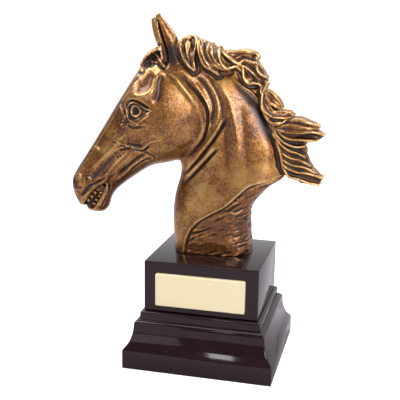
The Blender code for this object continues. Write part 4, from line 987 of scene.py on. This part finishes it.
tree_of_points = KDTree(len(carved))
for index, point in enumerate(carved):
    tree_of_points.insert(point, index)
tree_of_points.balance()
match = [tree_of_points.find(vert.co)[1] for vert in clay.vertices]
for name, values in relief.items():
    clay.attributes.new(name, "FLOAT", "POINT").data.foreach_set("value", values[match].astype(np.float32))

head_low, head_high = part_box("horse_head")
unit_size = (head_high.z - head_low.z) / GRID_HEIGHT
points = turned(points_of(clay)) + (0, 0, -GRID_FOOT)
points = points * unit_size + (0, HEAD_BACK, head_low.z)
place_points(clay, points)

bm = bmesh.new()
bm.from_mesh(clay)
everything = bm.verts[:] + bm.edges[:] + bm.faces[:]
cut = bmesh.ops.bisect_plane(bm, geom=everything, dist=THINNEST, plane_co=(0, 0, head_low.z),
                             plane_no=(0, 0, 1), clear_inner=True)
rim = [edge for edge in cut["geom_cut"] if isinstance(edge, bmesh.types.BMEdge)]
bmesh.ops.holes_fill(bm, edges=rim, sides=0)
bmesh.ops.triangulate(bm, faces=[face for face in bm.faces if len(face.verts) > 3])

# The casting fits the box of its solid: where the fine carving stands further out, it is drawn in.
corners = np.array([vert.co for vert in bm.verts])
for axis in range(3):
    low, high = corners[:, axis].min(), corners[:, axis].max()
    room = min(1, (head_high[axis] - head_low[axis]) / (high - low))
    shift = np.clip(0, head_low[axis] - low * room, head_high[axis] - high * room)
    for vert in bm.verts:
        vert.co[axis] = vert.co[axis] * room + shift
head = finished("cast_horse_head", bm, "horse_head", 180)

# Antique gold: bronze powder lacquer over resin, a dark umber stain wiped off the high places and a clear
# gloss coat. The eye sees gold on every ridge, umber in every cut, and specks about 1 mm across in patches
# about 20 mm across where the stain was dabbed on.
PLAIN_WEAR = 0.39
SPECK = 0.00125
PATCH = 0.0222
GRIT_HEIGHT = 0.00006

material, tree, shader = new_material("antique gold on resin", coat_roughness=0.18)
place = add_node(tree, "ShaderNodeTexCoord").outputs["Object"]
fine, broad, stain_and_shadow = [add_node(tree, "ShaderNodeAttribute", attribute_name=name).outputs["Fac"]
                      for name in ("fine_relief", "broad_relief", "stain_and_shadow")]
patches = add_node(tree, "ShaderNodeTexNoise", {"Vector": place, "Scale": 1 / PATCH, "Detail": 6.0,
                                                "Roughness": 0.7}).outputs["Fac"]
speckle = add_node(tree, "ShaderNodeTexNoise", {"Vector": place, "Scale": 1 / SPECK, "Detail": 3.0,
                                                "Roughness": 0.85}).outputs["Fac"]
dots = add_node(tree, "ShaderNodeMapRange", [speckle, 0.42, 0.58, 1.0, 0.0]).outputs["Result"]
crowd = add_node(tree, "ShaderNodeMapRange", [patches, 0.4, 0.6, 1.0, 0.2]).outputs["Result"]
specks = add_node(tree, "ShaderNodeMath", [dots, crowd], operation="MULTIPLY").outputs["Value"]
ridges = add_node(tree, "ShaderNodeMath", [fine, 0.0], operation="MAXIMUM").outputs["Value"]
cuts = add_node(tree, "ShaderNodeMath", [fine, 0.0], operation="MINIMUM").outputs["Value"]
# The wear falls with the stain, which also holds painted shadow under the mane and painted shade over its
# fan, and with the broad relief, which paints shade into wide hollows as well as marking where the stain
# settles.
wear = PLAIN_WEAR
for cause, gain in ((ridges, 1.7), (cuts, 1.8), (broad, 0.36), (patches, 0.42), (specks, -0.3),
                    (stain_and_shadow, -0.8)):
    wear = add_node(tree, "ShaderNodeMath", [cause, gain, wear], operation="MULTIPLY_ADD").outputs["Value"]
tones = add_node(tree, "ShaderNodeValToRGB", {"Fac": wear})
tones.color_ramp.elements[0].position = 0.04
tones.color_ramp.elements[0].color = linear("#1C0D05")
tones.color_ramp.elements[1].position = 1.0
tones.color_ramp.elements[1].color = linear("#FFE2A6")
for position, colour in ((0.28, "#4A2812"), (0.5, "#905A2B"), (0.68, "#CF9F5A")):
    tones.color_ramp.elements.new(position).color = linear(colour)
tree.links.new(tones.outputs["Color"], shader.inputs["Base Color"])
# Where the gold is worn through, the umber is dull and hardly metal. The clear coat sinks into the stain
# and thins on edges and in cuts.
metal = add_node(tree, "ShaderNodeMapRange", [wear, 0.08, 0.5, 0.1, 0.95])
dull = add_node(tree, "ShaderNodeMapRange", [wear, 0.2, 0.9, 0.45, 0.3])
steep = add_node(tree, "ShaderNodeMath", [fine], operation="ABSOLUTE").outputs["Value"]
even = add_node(tree, "ShaderNodeMapRange", [steep, 0.04, 0.16, 1.0, 0.15]).outputs["Result"]
clean = add_node(tree, "ShaderNodeMapRange", [stain_and_shadow, 0.1, 0.6, 0.7, 0.1]).outputs["Result"]
coat = add_node(tree, "ShaderNodeMath", [clean, even], operation="MULTIPLY")
for node, key in ((metal, "Metallic"), (dull, "Roughness"), (coat, "Coat Weight")):
    tree.links.new(node.outputs[0], shader.inputs[key])
# The specks of powder stand out by about a hundredth of a millimetre.
grit = add_node(tree, "ShaderNodeBump", {"Height": speckle, "Distance": GRIT_HEIGHT, "Strength": 0.25})
tree.links.new(grit.outputs["Normal"], shader.inputs["Normal"])
head.data.materials.append(material)


# Studio
# A plain white floor that runs out of sight, soft boxes round the trophy, and a camera at the height and
# side of the photograph.
HEAD_MIDDLE = 0.15
FLOOR_REACH = 6
PAPER_COLOUR = "#B3AFB6"
PAPER_GLOW = 0.95
BACKDROP_GLOW = 1.05
BACKDROP_FRONT = 0.13
BACKDROP_BACK = 0.75
LAMP_COLOUR = "#FFFCFE"
CAMERA_AZIMUTH = 13.803
CAMERA_HEIGHT = 13.538
CAMERA_DISTANCE = 0.532855
CAMERA_ROLL = 0.904
FOCAL_PIXELS = 789.78
PICTURE_PIXELS = 400
SENSOR = 36
AIM_SIDE = -0.009516
AIM_UP = 0.107621

# The soft boxes: the angle round the head from the plate's side and the angle up, the distance, the width
# and height in metres, and how bright the face is.
SOFTBOXES = {
    "left softbox": (-75, 46, 1.2, 0.8, 0.65, 5.4),
    "right front softbox": (33, 19, 1.2, 0.6, 0.45, 7.4),
    "left card": (-30, 5, 1.2, 0.5, 0.4, 0.9),
    "spot over the camera": (-8, 38, 1.2, 0.14, 0.12, 9.0),
    "right strip": (33, 4, 0.62, 0.09, 0.36, 3.0),
    "top softbox": (-20, 75, 1.2, 0.7, 0.45, 2.2),
    "right softbox": (80, 14, 1.2, 0.45, 0.5, 2.4),
    "back softbox": (180, 68, 1.2, 0.8, 0.5, 4.5),
    "left back softbox": (-125, 45, 1.2, 0.6, 0.5, 3.0),
    "right back softbox": (120, 45, 1.2, 0.6, 0.5, 3.6),
}

bm = bmesh.new()
bmesh.ops.create_grid(bm, x_segments=1, y_segments=1, size=FLOOR_REACH)
mesh = bpy.data.meshes.new("studio_floor")
bm.to_mesh(mesh)
bm.free()
floor = bpy.data.objects.new("studio_floor", mesh)
bpy.context.scene.collection.objects.link(floor)

# Matt white paper, which glows only where the camera sees it, so that it stays plain white round the trophy.
material, tree, shader = new_material("white paper", roughness=0.9)
shader.inputs["Base Color"].default_value = linear(PAPER_COLOUR)
shader.inputs["Emission Color"].default_value = linear("#FFFFFF")
seen = add_node(tree, "ShaderNodeLightPath").outputs["Is Camera Ray"]
glow = add_node(tree, "ShaderNodeMath", [seen, PAPER_GLOW], operation="MULTIPLY")
tree.links.new(glow.outputs["Value"], shader.inputs["Emission Strength"])
floor.data.materials.append(material)

# The backdrop is white where the camera sees it, and lights the trophy dimly from the front.
world = bpy.data.worlds.new("studio")
bpy.context.scene.world = world
world.use_nodes = True
tree = world.node_tree
backdrop = tree.nodes["Background"]
backdrop.inputs["Color"].default_value = linear("#FFFFFF")
seen = add_node(tree, "ShaderNodeLightPath").outputs["Is Camera Ray"]
place = add_node(tree, "ShaderNodeTexCoord").outputs["Generated"]
behind = add_node(tree, "ShaderNodeSeparateXYZ", [place]).outputs["Y"]
fill = add_node(tree, "ShaderNodeMapRange", [behind, -0.2, 0.8, BACKDROP_FRONT, BACKDROP_BACK])
glow = add_node(tree, "ShaderNodeMapRange", [seen, 0.0, 1.0, fill.outputs["Result"], BACKDROP_GLOW])
tree.links.new(glow.outputs["Result"], backdrop.inputs["Strength"])

for name, (azimuth, elevation, distance, width, height, radiance) in SOFTBOXES.items():
    aim = Euler((math.radians(-elevation), 0, math.radians(azimuth)), "XYZ")
    away = aim.to_matrix() @ Vector((0, -1, 0))
    lamp = bpy.data.lights.new(name, "AREA")
    lamp.shape = "RECTANGLE"
    lamp.size = width
    lamp.size_y = height
    lamp.energy = radiance * math.pi * width * height
    lamp.color = linear(LAMP_COLOUR)[:3]
    box = bpy.data.objects.new(name, lamp)
    bpy.context.scene.collection.objects.link(box)
    box.location = Vector((0, 0, HEAD_MIDDLE)) + distance * away
    box.rotation_euler = (-away).to_track_quat("-Z", "Y").to_euler()

azimuth, elevation, roll = (math.radians(a) for a in (CAMERA_AZIMUTH, CAMERA_HEIGHT, CAMERA_ROLL))
back = Vector((math.sin(azimuth) * math.cos(elevation), -math.cos(azimuth) * math.cos(elevation),
               math.sin(elevation)))
right = Vector((math.cos(azimuth), math.sin(azimuth), 0))
up = back.cross(right)
frame_right = right * math.cos(roll) + up * math.sin(roll)
frame_up = up * math.cos(roll) - right * math.sin(roll)
camera = bpy.data.objects.new("camera", bpy.data.cameras.new("camera"))
bpy.context.scene.collection.objects.link(camera)
camera.matrix_world = Matrix((frame_right, frame_up, back)).transposed().to_4x4()
camera.matrix_world.translation = AIM_SIDE * right + Vector((0, 0, AIM_UP)) + CAMERA_DISTANCE * back
camera.data.sensor_width = SENSOR
camera.data.lens = FOCAL_PIXELS / PICTURE_PIXELS * SENSOR
bpy.context.scene.camera = camera
bpy.context.scene.view_settings.view_transform = "Standard"
